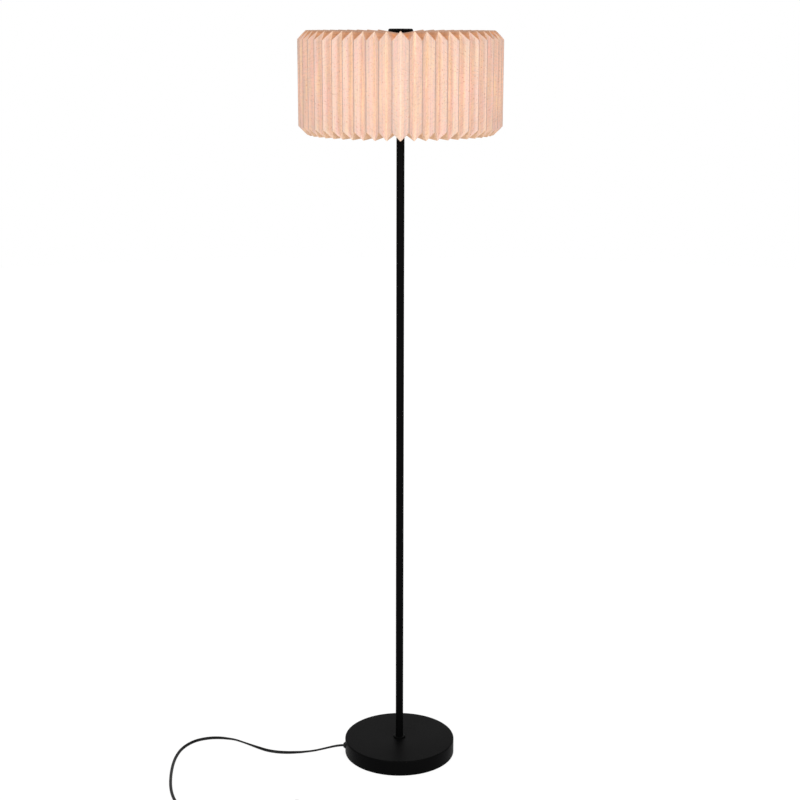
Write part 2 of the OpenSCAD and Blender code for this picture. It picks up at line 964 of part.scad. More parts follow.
module hem_ring() {
    color("dimgray")
        translate([0, 0, foot_z + bottom_rise + fan_drop(hole_r) / 2])
            rotate_extrude()
                translate([hole_r - play - ring_d / 2, 0])
                    circle(ring_d / 2);
}

// Cap
// A flat disc with a bevelled edge and a dished underside, and a hollow neck
module cap_disc() {
    r = cap_d / 2;
    top = lamp_h - cap_z;
    bore = stud_r + thread_play + insert_t + thread_play;
    color("black")
        translate([0, 0, cap_z])
            rotate_extrude()
                polygon([
                    [0, top],
                    [r - 2.4, top],
                    [r - 1.2, top - 0.5],
                    [r - 0.5, top - 1.6],
                    [r, cap_lip + 0.6],
                    [r, cap_lip],
                    [r - 0.6, cap_lip - 0.4],
                    [r * 0.58, 0],
                    [neck_r, 0],
                    [neck_r, -neck_l],
                    [bore, -neck_l],
                    [bore, -1],
                    [0, -1]
                ]);
}

module cap_insert() {
    color("gold")
        pipe(stud_r + thread_play + insert_t, stud_r + thread_play, neck_z, 13);
}

// Cord
module cord_run() {
    color("black")
        swept(curve(run_points, 2), lead_w, lead_t, flat_outline);
}

module cord_link() {
    color("black")
        swept(curve(link_points, 2), lead_w, lead_t, flat_outline, roll_1 = 90);
}

module cord_tail() {
    color("black")
        swept(curve(tail_points, 2), lead_w, lead_t, flat_outline, roll_0 = 90);
}

// The coil's line: turns spiral in on the lower layer and out again on the upper one, and climb in the half
// turn where the spiral reverses; each end runs straight for one width of the lead
function coil_point(a) =
    let (
        middle = 360 * coil_turns,
        r = coil_in + coil_pitch * abs(a - middle) / 360,
        climb = max(0, min(1, (a - middle + 90) / 180)),
        ease = climb * climb * (3 - 2 * climb)
    )
    [
        coil_x + r * sin(a),
        coil_y - r * cos(a),
        coil_low + (coil_high - coil_low) * ease
    ];
coil_path = concat(
    [[coil_x - lead_w, coil_y - coil_out, coil_low]],
    [for (i = [0 : 2 * coil_turns * coil_rings]) coil_point(360 / coil_rings * i)],
    [[coil_x + lead_w, coil_y - coil_out, coil_high]]
);

module cord_coil() {
    color("black")
        swept(coil_path, lead_w, lead_t, coil_outline, roll_0 = 90, roll_1 = 90);
}

// Least gap between the coil's turns, measured on its corners and edge middles more than half a turn apart
coil_skin = [
    for (i = [1 : len(coil_path) - 2])
        let (t = unit(coil_path[i + 1] - coil_path[i - 1]))
        ring(coil_path[i], t, cross([0, 0, 1], t), lead_w, lead_t, coil_outline, 90)
];
function edge_gap(p, a, b) =
    let (s = max(0, min(1, (p - a) * (b - a) / ((b - a) * (b - a)))))
    norm(p - a - s * (b - a));
coil_least_gap = min([
    for (i = [0 : len(coil_skin) - 1])
        for (turn = [1 : 2 * coil_turns])
            for (d = [-2 : 2])
                let (k = i + turn * coil_rings + d)
                if (k < len(coil_skin))
                    for (p = coil_skin[i])
                        for (m = [0 : len(coil_outline) - 1])
                            edge_gap(p, coil_skin[k][m], coil_skin[k][(m + 1) % len(coil_outline)])
]);
echo(coil_least_gap = coil_least_gap);
echo(cord_lengths = [path_l(curve(run_points, 2)), path_l(curve(link_points, 2)), path_l(coil_path),
    path_l(curve(tail_points, 2))]);

// A flat band round the coil's turns
module cord_tie() {
    low = -tie_t;
    inside_w = coil_out - coil_in + lead_t + 2 * play;
    inside_h = coil_high - coil_low + lead_w + 2 * play;
    band = 8;
    color("black")
        translate([coil_x, coil_y + (coil_in + coil_out) / 2, tie_t + inside_h / 2])
            rotate([0, 90, 0])
                translate([0, 0, -band / 2])
                    difference() {
                        linear_extrude(band)
                            square([inside_h + 2 * tie_t, inside_w + 2 * tie_t], center = true);
                        translate([0, 0, -over])
                            linear_extrude(band + 2 * over)
                                square([inside_h, inside_w], center = true);
                    }
}

// Foot switch
module at_switch() {
    translate([switch_x, switch_y, 0])
        children();
}

module switch_base() {
    color("black")
        at_switch()
            difference() {
                intersection() {
                    soft_block(switch_l, switch_w, switch_h, switch_round);
                    translate([-switch_l, -switch_w, 0])
                        cube([2 * switch_l, 2 * switch_w, switch_split]);
                }
                translate([0, 0, switch_wall])
                    soft_block(switch_l - 2 * switch_wall, switch_w - 2 * switch_wall, switch_h, switch_wall);
                for (side = [-1, 1])
                    translate([side * (switch_l / 2 - 7), 0, -over])
                        cylinder(r = 1.7, h = 2 * switch_wall + over);
            }
}

module switch_cover() {
    color("black")
        at_switch()
            difference() {
                intersection() {
                    soft_block(switch_l, switch_w, switch_h, switch_round);
                    translate([-switch_l, -switch_w, switch_split])
                        cube([2 * switch_l, 2 * switch_w, switch_h]);
                }
                soft_block(
                    switch_l - 2 * switch_wall,
                    switch_w - 2 * switch_wall,
                    switch_h - switch_wall,
                    switch_round - switch_wall
                );
                cylinder(r = button_d / 2 + play, h = switch_h + over);
            }
}

module switch_button() {
    skirt_top = switch_h - switch_wall - seat_gap;
    color("black")
        at_switch()
            union() {
                translate([0, 0, skirt_top - 1.6])
                    cylinder(r = button_d / 2 + 1.4, h = 1.6);
                translate([0, 0, skirt_top - 1.6])
                    round_disc(button_d / 2, switch_h + button_travel + 0.5 - skirt_top + 1.6, 1.2);
            }
}

// The block that holds the switch's contacts, with its leads' ends at its two sides
module switch_block() {
    color("ivory")
        at_switch()
            translate([-19, -9, switch_wall])
                cube([38, 18, switch_split - switch_wall]);
}

module switch_spring() {
    turns = 4;
    wire = 0.8;
    r = 5;
    z_0 = switch_split + wire / 2 + 0.1;
    z_1 = switch_h - switch_wall - seat_gap - 1.6 - wire / 2 - 0.1;
    color("silver")
        at_switch()
            swept([
                for (i = [0 : turns * 12])
                    [r * cos(30 * i), r * sin(30 * i), z_0 + (z_1 - z_0) * i / (turns * 12)]
            ], wire, wire, round_outline(6));
}

module switch_screws() {
    color("silver")
        at_switch()
            for (side = [-1, 1])
                translate([side * (switch_l / 2 - 7), 0, 0]) {
                    translate([0, 0, 0.4])
                        cylinder(r = 1.5, h = switch_h - switch_wall - 1);
                    translate([0, 0, switch_wall + 0.1])
                        cylinder(r = 2.6, h = 1.4);
                }
}

module switch_reliefs() {
    color("black") {
        relief(switch_x + switch_l / 2, switch_y, switch_cord_z, relief_r0, relief_r1);
        translate([2 * switch_x, 0, 0])
            mirror([1, 0, 0])
                relief(switch_x + switch_l / 2, switch_y, switch_cord_z, relief_r0, relief_r1);
    }
}

// Plug
// A flat two-pin plug: its outline seen from above, cut to its profile seen from the side
module plug_body() {
    w = plug_w / 2;
    t = plug_t / 2;
    color("black")
        translate([plug_x, plug_y, plug_z])
            intersection() {
                translate([0, 0, -t])
                    linear_extrude(plug_t)
                        polygon([
                            [0, -w * 0.5],
                            [plug_l * 0.2, -w * 0.72],
                            [plug_l * 0.5, -w * 0.8],
                            [plug_l * 0.8, -w],
                            [plug_l, -w],
                            [plug_l, w],
                            [plug_l * 0.8, w],
                            [plug_l * 0.5, w * 0.8],
                            [plug_l * 0.2, w * 0.72],
                            [0, w * 0.5]
                        ]);
                rotate([90, 0, 0])
                    translate([0, 0, -w])
                        linear_extrude(plug_w)
                            polygon([
                                [0, -t],
                                [plug_l - 1, -t],
                                [plug_l, -t + 1],
                                [plug_l, t - 1],
                                [plug_l - 1, t],
                                [plug_l * 0.3, t],
                                [0, t * 0.8]
                            ]);
            }
}

module plug_relief() {
    color("black")
        translate([plug_x, plug_y, plug_z])
            rotate([0, -90, 0])
                cylinder(r1 = relief_r0, r2 = relief_r1, h = relief_l);
}

module plug_pins() {
    pin_space = 18.6;
    color("silver")
        for (side = [-1, 1])
            translate([plug_x + plug_l, plug_y + side * pin_space / 2, plug_z])
                rotate([0, 90, 0]) {
                    cylinder(r = pin_d / 2 - 0.15, h = pin_l - 2);
                    translate([0, 0, pin_l * 0.5])
                        cylinder(r = pin_d / 2, h = pin_l * 0.5 - 1);
                    translate([0, 0, pin_l - 1])
                        cylinder(r1 = pin_d / 2, r2 = pin_d / 2 - 0.8, h = 1);
                }
}

base_pad();
base_plate();
base_screws();
base_weight();
base_cover();
base_nipple();
base_washer();
base_nut();
cord_grommet();
inner_lead();
pole_collar();
pole_lower();
pole_middle();
pole_upper();
pole_nipples();
top_nipple();
harp_saddle();
holder_cap();
holder_sleeve();
terminal_block();
screw_shell();
centre_contact();
bulb_globe();
bulb_collar();
bulb_cap();
bulb_contact();
harp_bow();
harp_sleeves();
harp_seat();
shade_pleats();
shade_hub();
hem_ring();
cap_disc();
cap_insert();
cord_run();
switch_base();
switch_cover();
switch_button();
switch_spring();
switch_block();
switch_screws();
switch_reliefs();
cord_link();
cord_coil();
cord_tie();
cord_tail();
plug_body();
plug_relief();
plug_pins();
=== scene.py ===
"""Looks of a pleated shade floor lamp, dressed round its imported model.

Lengths are in metres, +Z is up and -Y is towards the viewer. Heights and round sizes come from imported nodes.
"""
import logging
import math
from dataclasses import dataclass, field, replace
from enum import Enum
from typing import Callable

import bmesh
import bpy
import numpy as np
from mathutils import Matrix, Vector


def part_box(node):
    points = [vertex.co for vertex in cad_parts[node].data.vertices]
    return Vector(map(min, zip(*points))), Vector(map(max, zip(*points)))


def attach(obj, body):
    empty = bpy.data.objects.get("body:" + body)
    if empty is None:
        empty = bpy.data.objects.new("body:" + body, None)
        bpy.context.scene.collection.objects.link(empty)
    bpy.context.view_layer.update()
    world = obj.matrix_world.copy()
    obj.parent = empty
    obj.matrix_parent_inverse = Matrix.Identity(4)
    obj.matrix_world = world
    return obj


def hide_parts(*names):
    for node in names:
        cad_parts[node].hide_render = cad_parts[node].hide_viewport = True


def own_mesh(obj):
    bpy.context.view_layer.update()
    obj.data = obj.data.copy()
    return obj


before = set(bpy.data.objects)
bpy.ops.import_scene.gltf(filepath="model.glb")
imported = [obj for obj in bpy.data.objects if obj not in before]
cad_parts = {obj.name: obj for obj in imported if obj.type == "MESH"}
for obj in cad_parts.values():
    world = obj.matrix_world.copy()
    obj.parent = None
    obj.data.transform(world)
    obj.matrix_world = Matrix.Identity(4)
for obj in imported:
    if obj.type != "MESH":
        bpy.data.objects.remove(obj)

log = logging.getLogger("lamp")
Array = np.ndarray
Colour = tuple[float, float, float]
Point = tuple[float, float, float]
Corner = tuple[float, float]
Wave = Callable[[Array, Array], Array]
Piece = bpy.types.Object
Socket = bpy.types.NodeSocket
Material = bpy.types.Material

UP = np.array([0.0, 0.0, 1.0])
WHITE = (1.0, 1.0, 1.0)
CRISP = 0.0002
SEAT_GAP = 0.0003
SCREW_PITCH = 0.00363
SCREW_DEPTH = 0.0005
BEND_SHARES = np.array([0.25, 0.5, 0.75])


# Sizes from the imported model


def foot_of(node: str) -> float:
    """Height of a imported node's lowest point, to a hundredth of a millimetre."""
    return round(float(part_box(node)[0][2]), 5)


def top_of(node: str) -> float:
    """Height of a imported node's highest point, to a hundredth of a millimetre."""
    return round(float(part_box(node)[1][2]), 5)


def radius_of(node: str) -> float:
    """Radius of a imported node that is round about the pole, to a hundredth of a millimetre."""
    return round(float(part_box(node)[1][0]), 5)


# Surfaces


@dataclass(frozen=True)
class Patch:
    """A grid of points whose neighbours become faces, with optional values at the points."""

    points: Array
    uv: Array | None = None
    values: dict[str, Array] = field(default_factory=dict)

    def placed(self, turn: Array, shift: Point) -> "Patch":
        """The patch turned by a 3 by 3 matrix, whose columns are its new axes, and then moved."""
        return replace(self, points=self.points @ turn.T + np.array(shift))

    def quads(self) -> Array:
        """Corners of the faces: point (i, j) joins (i+1, j), (i+1, j+1) and (i, j+1).

        Returns:
            Array of faces by four point numbers.
        """
        rows, columns = self.points.shape[:2]
        i, j = np.meshgrid(np.arange(rows - 1), np.arange(columns - 1), indexing="ij")
        first = i * columns + j
        return np.stack([first, first + columns, first + columns + 1, first + 1], -1).reshape(-1, 4)


@dataclass(frozen=True)
class Thread:
    """Screw thread as a wave of a turned wall's radius: d cos(2 pi z / pitch - a), faded at both ends."""

    depth: float
    pitch: float
    low: float
    high: float
    fade: float = 0.002

    def __call__(self, angle: Array, height: Array) -> Array:
        """Works out the thread's extra radius.

        Args:
            angle: Angles of the wall's points round its axis.
            height: Heights of the same points.

        Returns:
            Extra radius at each point.
        """
        start = np.clip((height - self.low) / self.fade, 0, 1)
        end = np.clip((self.high - height) / self.fade, 0, 1)
        return self.depth * start * end * np.cos(2 * np.pi * height / self.pitch - angle)


@dataclass(frozen=True)
class Ribs:
    """Upright ribs on some rows of a turned wall, which is drawn in by d (1 - cos(n a))."""

    depth: float
    count: int
    on_row: Array

    def __call__(self, angle: Array, height: Array) -> Array:
        """Extra radius at each angle, the same at every height of a ribbed row."""
        return -self.depth * (1 - np.cos(self.count * angle)) * self.on_row[:, None]


def distances(path: Array) -> Array:
    """Length along a path from its start to each of its points."""
    return np.r_[0, np.cumsum(np.linalg.norm(np.diff(path, axis=0), axis=1))]


def parabola(start: Array, corner: Array, end: Array, t: Array) -> Array:
    """Point at the share t of the parabola from start to end whose tangents there meet at the corner."""
    return (1 - t) ** 2 * start + 2 * t * (1 - t) * corner + t**2 * end


def evenly(start: Array, end: Array, rows: int) -> Array:
    """Evenly spaced rows of points from start to end."""
    return start + (end - start) * np.linspace(0, 1, rows)[None, :, None]


def softened(corners: list[Corner], radii: list[float], closed: bool = True, steps: int = 5) -> Array:
    """Rounds an outline: each corner becomes a parabola that leaves its two edges at the corner's radius.

    Args:
        corners: Corners of the outline.
        radii: How far before and after each corner the rounding starts.
        closed: Whether the last corner is joined to the first.
        steps: Points on each rounded corner.

    Returns:
        The outline's points, the first repeated at the end if it is closed.
    """
    p = np.array(corners, float)
    before, after = np.roll(p, 1, 0) - p, np.roll(p, -1, 0) - p
    reach = np.array(radii, float)[:, None]
    if not closed:
        reach[[0, -1]] = 0
    lengths = [np.linalg.norm(way, axis=1, keepdims=True) for way in (before, after)]
    start, end = (
        p + way / size * np.minimum(reach, 0.49 * size) for way, size in zip((before, after), lengths)
    )
    bends = parabola(start[:, None], p[:, None], end[:, None], np.linspace(0, 1, steps)[None, :, None])
    outline = bends.reshape(-1, 2)
    return np.vstack([outline, outline[:1]]) if closed else outline


def turned(outline: Array, segments: int = 96, wave: Wave | None = None) -> Patch:
    """Turns an outline of radius and height round Z: (r cos a, r sin a, z), r moved by a wave of a and z.

    Args:
        outline: Points of radius and height.
        segments: Steps round the axis.
        wave: Extra radius at each angle and height, for ribs and threads.

    Returns:
        The surface of revolution, with arc length and height as its UV.
    """
    angle = np.linspace(0, 2 * np.pi, segments + 1)
    a, r = np.meshgrid(angle, outline[:, 0])
    z = np.repeat(outline[:, 1:2], segments + 1, 1)
    if wave is not None:
        r = r + wave(a, z)
    climb = np.repeat(distances(outline)[:, None], segments + 1, 1)
    uv = np.stack([a * np.max(outline[:, 0]), climb], -1)
    return Patch(np.stack([r * np.cos(a), r * np.sin(a), z], -1), uv)


def smooth_path(points: list[Point], steps: int) -> Array:
    """Curve through points: between b and c it is the cubic with slopes (c - a) / 2 and (d - b) / 2 there.

    Args:
        points: Points that the curve passes.
        steps: Steps from each point to the next.

    Returns:
        Points along the curve.
    """
    p = np.array(points, float)
    p = np.vstack([p[:1], p, p[-1:]])
    a, b, c, d = (p[i : len(p) - 3 + i, None] for i in range(4))
    t = (np.arange(steps) / steps)[None, :, None]
    cubic = 2 * b + (c - a) * t + (2 * a - 5 * b + 4 * c - d) * t**2 + (3 * b - a - 3 * c + d) * t**3
    return np.vstack([0.5 * cubic.reshape(-1, 3), p[-1:]])


def swept(path: Array, outline: Array, side: Array | None = None, roll: Array | float = 0.0) -> Patch:
    """Carries an outline along a path: each ring is c + x across + y up, and a point closes each end.

    Args:
        path: Points of the centre line.
        outline: Closed outline across the path, in its own x and y.
        side: Direction of the outline's x, or None for a level one.
        roll: Turn of the outline about the path in radians, for all rings or each.

    Returns:
        The tube, with length and girth as its UV.
    """
    t = np.gradient(path, axis=0)
    t /= np.linalg.norm(t, axis=1, keepdims=True)
    level = np.cross(UP, t) if side is None else np.broadcast_to(side, t.shape)
    s = level - (level * t).sum(1, keepdims=True) * t
    s /= np.linalg.norm(s, axis=1, keepdims=True)
    u = np.cross(t, s)
    turn = np.broadcast_to(roll, len(path))[:, None]
    across, up = np.cos(turn) * s + np.sin(turn) * u, np.cos(turn) * u - np.sin(turn) * s
    rings = path[:, None] + outline[None, :, :1] * across[:, None] + outline[None, :, 1:] * up[:, None]
    ends = [np.repeat(path[i][None, None], len(outline), 1) for i in (0, -1)]
    along = distances(path)
    along = np.r_[along[0], along, along[-1]]
    uv = np.stack(np.meshgrid(along, distances(outline), indexing="ij"), -1)
    return Patch(np.concatenate([ends[0], rings, ends[1]]), uv)


def flat_outline(width: float, height: float, points: int = 24) -> Array:
    """Closed oval with straight long sides: half circles of the height's radius, set apart along x.

    Args:
        width: Width of the oval.
        height: Height of the oval.
        points: Points on both half circles together.

    Returns:
        The outline's points, the first repeated at the end.
    """
    a = np.linspace(0, 2 * np.pi, points, endpoint=False) + np.pi / points
    r = height / 2
    oval = np.stack([r * np.cos(a) + np.sign(np.cos(a)) * (width / 2 - r), r * np.sin(a)], 1)
    return np.vstack([oval, oval[:1]])


def circle_outline(radius: float, points: int = 16) -> Array:
    """Closed circle."""
    a = np.linspace(0, 2 * np.pi, points + 1)
    return radius * np.stack([np.cos(a), np.sin(a)], 1)


def long_oval(length: float, width: float, inset: float, points: int = 16) -> Array:
    """Closed outline with half-round ends, drawn in by an inset: c + (w/2 - inset) (cos a, sin a).

    Args:
        length: Length of the oval along x.
        width: Width of the oval.
        inset: How far the outline is drawn in.
        points: Steps on each half circle.

    Returns:
        The outline's points, the first repeated at the end.
    """
    a = np.radians(np.r_[np.linspace(-90, 90, points + 1), np.linspace(90, 270, points + 1), -90])
    centre = np.r_[np.ones(points + 1), -np.ones(points + 1), 1.0] * (length - width) / 2
    r = width / 2 - inset
    return np.stack([centre + r * np.cos(a), r * np.sin(a)], 1)


def lofted(rows: list[tuple[Array, float]]) -> Patch:
    """Joins level outlines of as many points each: point (i, j) is outline i's point j at height i."""
    return Patch(np.stack([np.column_stack([outline, np.full(len(outline), z)]) for outline, z in rows]))


def write_mesh(name: str, patches: list[Patch], sharp: float = 40.0, outward: bool = True) -> Piece:
    """Makes one object of several patches.

    Args:
        name: Name of the piece.
        patches: Grids that share the mesh; points that coincide are merged.
        sharp: Angle in degrees past which an edge is shaded sharp.
        outward: Whether faces are turned outwards, as on a closed shape.

    Returns:
        The object, at the origin.
    """
    counts = [patch.points.shape[0] * patch.points.shape[1] for patch in patches]
    starts = np.r_[0, np.cumsum(counts)[:-1]]
    points = np.concatenate([patch.points.reshape(-1, 3) for patch in patches])
    quads = np.concatenate([patch.quads() + start for patch, start in zip(patches, starts)])
    mesh = bpy.data.meshes.new(name)
    mesh.from_pydata(points, [], quads)
    flat = [patch.points[..., :2] if patch.uv is None else patch.uv for patch in patches]
    uv = np.concatenate([grid.reshape(-1, 2) for grid in flat])
    mesh.uv_layers.new(name="surface").data.foreach_set("uv", uv[quads.ravel()].astype(np.float32).ravel())
    for key in patches[0].values:
        values = np.concatenate([patch.values[key].ravel() for patch in patches])
        mesh.attributes.new(key, "FLOAT", "POINT").data.foreach_set("value", values.astype(np.float32))
    build = bmesh.new()
    build.from_mesh(mesh)
    bmesh.ops.remove_doubles(build, verts=build.verts, dist=1e-6)
    if outward:
        bmesh.ops.recalc_face_normals(build, faces=build.faces)
    build.to_mesh(mesh)
    build.free()
    mesh.shade_smooth()
    mesh.set_sharp_from_angle(angle=math.radians(sharp))
    piece = bpy.data.objects.new(name, mesh)
    bpy.context.scene.collection.objects.link(piece)
    log.info("piece %s: %d faces", name, len(mesh.polygons))
    return piece


# Finishes


def tint(red: float, green: float, blue: float) -> Colour:
    """Turns a display colour into the linear one that a shader takes.

    Args:
        red: Red from 0 to 255.
        green: Green from 0 to 255.
        blue: Blue from 0 to 255.

    Returns:
        The linear colour.
    """
    shares = np.array([red, green, blue]) / 255
    linear = np.where(shares <= 0.04045, shares / 12.92, ((shares + 0.055) / 1.055) ** 2.4)
    return tuple(float(value) for value in linear)


class Net:
    """Adds nodes to one node tree and joins them."""

    def __init__(self, tree: bpy.types.NodeTree) -> None:
        """Keeps the tree and empties it."""
        self.tree = tree
        tree.nodes.clear()

    def add(self, kind: str, inputs: dict | None = None, **settings: object) -> bpy.types.Node:
        """Adds a node.

        Args:
            kind: Blender's name of the node type, without its prefix.
            inputs: Values or sockets for its inputs, by name or number.
            settings: Properties of the node.

        Returns:
            The node.
        """
        node = self.tree.nodes.new(kind if kind.startswith("NodeGroup") else "ShaderNode" + kind)
        for key, value in settings.items():
            setattr(node, key, value)
        for key, value in (inputs or {}).items():
            if isinstance(value, Socket):
                self.tree.links.new(value, node.inputs[key])
            else:
                node.inputs[key].default_value = value
        return node

    def math(self, operation: str, first: object, second: object = 0.0, clamp: bool = False) -> Socket:
        """Result of a maths node on two values or sockets."""
        return self.add("Math", {0: first, 1: second}, operation=operation, use_clamp=clamp).outputs[0]

    def mix(self, share: object, first: object, second: object, blend: str = "MIX") -> Socket:
        """Mixes two colours.

        Args:
            share: Share of the second colour.
            first: Colour or socket.
            second: Colour or socket.
            blend: Blender's name of the way to mix.

        Returns:
            The colour.
        """
        colours = [(*c, 1.0) if isinstance(c, tuple) else c for c in (first, second)]
        values = {0: share, 6: colours[0], 7: colours[1]}
        return self.add("Mix", values, data_type="RGBA", blend_type=blend).outputs[2]

    def span(
        self, value: object, low: float, high: float, to_low: float = 0.0, to_high: float = 1.0
    ) -> Socket:
        """Value carried from one range to another and held at its ends."""
        return self.add("MapRange", {0: value, 1: low, 2: high, 3: to_low, 4: to_high}).outputs[0]

    def noise(self, vector: object, scale: float, detail: float = 2.0, roughness: float = 0.5) -> Socket:
        """Noise from 0 to 1 at a scale per unit of the vector."""
        values = {"Vector": vector, "Scale": scale, "Detail": detail, "Roughness": roughness}
        return self.add("TexNoise", values).outputs[0]

    def streaks(self, vector: object, scale: Point, detail: float = 2.0, roughness: float = 0.5) -> Socket:
        """Noise from 0 to 1 at a scale of its own along each axis."""
        return self.noise(self.stretched(vector, scale), 1.0, detail, roughness)

    def stretched(self, vector: object, scale: Point) -> Socket:
        """Vector scaled along its axes."""
        return self.add("Mapping", {"Vector": vector, "Scale": scale}).outputs[0]

    def length(self, vector: object) -> Socket:
        """Length of a vector."""
        return self.add("VectorMath", {0: vector}, operation="LENGTH").outputs["Value"]

    def place(self, source: str = "Object") -> Socket:
        """Object coordinates, or the piece's own UV."""
        return self.add("TexCoord").outputs[source]

    def group(self, tree: bpy.types.NodeTree, inputs: dict) -> bpy.types.bpy_prop_collection:
        """Outputs of a node group placed with its inputs."""
        return self.add("Group", inputs, node_tree=tree).outputs

    def shade(self, values: dict) -> None:
        """Puts out the Principled shader with its values."""
        self.add("OutputMaterial", {"Surface": self.add("BsdfPrincipled", values).outputs[0]})


def new_material(name: str) -> tuple[Material, Net]:
    """Makes an empty material.

    Args:
        name: Name of the material.

    Returns:
        The material and its net.
    """
    material = bpy.data.materials.new(name)
    material.use_nodes = True
    return material, Net(material.node_tree)


def make_group(
    name: str, inputs: dict[str, str], outputs: list[str], fill: Callable[[Net, dict], dict]
) -> bpy.types.NodeTree:
    """Builds a shader node group.

    Args:
        name: Name of the group.
        inputs: Socket types by name.
        outputs: Names of the values that it puts out.
        fill: Adds the nodes, given the inputs' sockets, and returns the outputs' sources.

    Returns:
        The group.
    """
    tree = bpy.data.node_groups.new(name, "ShaderNodeTree")
    for key, kind in inputs.items():
        tree.interface.new_socket(name=key, in_out="INPUT", socket_type=kind)
    for key in outputs:
        tree.interface.new_socket(name=key, in_out="OUTPUT", socket_type="NodeSocketFloat")
    net = Net(tree)
    sources = fill(net, {key: net.add("NodeGroupInput").outputs[key] for key in inputs})
    net.add("NodeGroupOutput", sources)
    return tree


def fill_grain(net: Net, given: dict) -> dict:
    """Fine grain, its pits, and wide patches of the same surface.

    Args:
        net: Net of the group.
        given: The inputs Vector, Grain and Patches, the last two as scales.

    Returns:
        Sources of the outputs Grain, Pits and Patches.
    """
    grain = net.noise(given["Vector"], given["Grain"], 3.0, 0.6)
    patches = net.noise(given["Vector"], given["Patches"], 2.0, 0.55)
    return {"Grain": grain, "Pits": net.span(grain, 0.38, 0.3), "Patches": net.span(patches, 0.35, 0.65)}


def fill_dust(net: Net, given: dict) -> dict:
    """A thin film of dust on faces that look up, thicker in cloudy patches.

    Args:
        net: Net of the group.
        given: The inputs Vector and Amount.

    Returns:
        Source of the output Dust.
    """
    up = net.add("SeparateXYZ", {0: net.add("NewGeometry").outputs["Normal"]}).outputs[2]
    cloud = net.span(net.noise(given["Vector"], 22.0, 4.0, 0.6), 0.4, 0.75, 0.0, 0.6)
    speck = net.span(net.noise(given["Vector"], 900.0, 1.0), 0.68, 0.74, 0.0, 0.6)
    film = net.math("MULTIPLY", net.math("ADD", cloud, speck), given["Amount"])
    return {"Dust": net.math("MULTIPLY", net.span(up, 0.35, 0.95), film)}


def fill_linen(net: Net, given: dict) -> dict:
    """Two crossed sets of uneven threads, with thick slubs and small flecks.

    Args:
        net: Net of the group.
        given: The input Vector, in metres of the flat sheet.

    Returns:
        Sources of the outputs Threads, Slubs, Streaks, Mottle and Flecks.
    """
    vector = given["Vector"]
    warp = net.streaks(vector, (1500.0, 90.0, 1.0))
    weft = net.streaks(vector, (90.0, 1500.0, 1.0))
    slub = net.streaks(vector, (40.0, 420.0, 1.0))
    streak = net.streaks(vector, (230.0, 9.0, 1.0))
    mottle = net.streaks(vector, (150.0, 250.0, 1.0), 3.0, 0.6)
    fleck = net.streaks(vector, (420.0, 260.0, 1.0))
    return {
        "Threads": net.math("MULTIPLY", net.math("ADD", warp, weft), 0.5),
        "Slubs": net.span(slub, 0.56, 0.66),
        "Streaks": net.span(streak, 0.3, 0.7),
        "Mottle": net.span(mottle, 0.3, 0.7),
        "Flecks": net.span(fleck, 0.62, 0.69),
    }


class Effects:
    """Node groups that several finishes share, built once."""

    def __init__(self) -> None:
        """Builds the groups."""
        vector, number = "NodeSocketVector", "NodeSocketFloat"
        grain = {"Vector": vector, "Grain": number, "Patches": number}
        linen = ["Threads", "Slubs", "Streaks", "Mottle", "Flecks"]
        self.grain = make_group("surface_grain", grain, ["Grain", "Pits", "Patches"], fill_grain)
        self.dust = make_group("dust_film", {"Vector": vector, "Amount": number}, ["Dust"], fill_dust)
        self.linen = make_group("linen_threads", {"Vector": vector}, linen, fill_linen)


class Grain(Enum):
    """How the fine marks of a finish run."""

    EVEN = (1.0, 1.0, 1.0)
    ALONG_LEAD = (0.03, 1.0, 1.0)


@dataclass(frozen=True)
class Finish:
    """A finish of one colour in two tones, broken up by grain, patches and a film of dust."""

    name: str
    tone: Colour
    second: Colour
    roughness: tuple[float, float] = (0.4, 0.55)
    metallic: float = 0.0
    specular: float = 0.5
    grains: float = 900.0
    patches: float = 14.0
    relief: float = 0.0
    dust: float = 0.0
    run: Grain = Grain.EVEN
    on_surface: bool = False
    dust_tone: Colour = tint(150, 145, 138)
    patch_share: float = 0.75

    def build(self, effects: Effects) -> Material:
        """Builds the material.

        Args:
            effects: The shared node groups.

        Returns:
            The material.
        """
        material, net = new_material(self.name)
        lines = net.stretched(net.place("UV" if self.on_surface else "Object"), self.run.value)
        marks = net.group(effects.grain, {"Vector": lines, "Grain": self.grains, "Patches": self.patches})
        patches = net.math("MULTIPLY", marks["Patches"], self.patch_share)
        share = net.math("ADD", patches, net.math("MULTIPLY", marks["Pits"], 1 - self.patch_share))
        colour = net.mix(share, self.tone, self.second)
        roughness = net.span(marks["Patches"], 0.0, 1.0, *self.roughness)
        if self.dust:
            film = net.group(effects.dust, {"Vector": net.place(), "Amount": self.dust})["Dust"]
            colour = net.mix(film, colour, self.dust_tone)
            roughness = net.math("ADD", roughness, net.math("MULTIPLY", film, 0.5), clamp=True)
        bump = net.add("Bump", {"Height": marks["Grain"], "Distance": self.relief, "Strength": 1.0})
        net.shade(
            {
                "Base Color": colour,
                "Roughness": roughness,
                "Metallic": self.metallic,
                "Specular IOR Level": self.specular,
                "Normal": bump.outputs["Normal"],
            }
        )
        return material


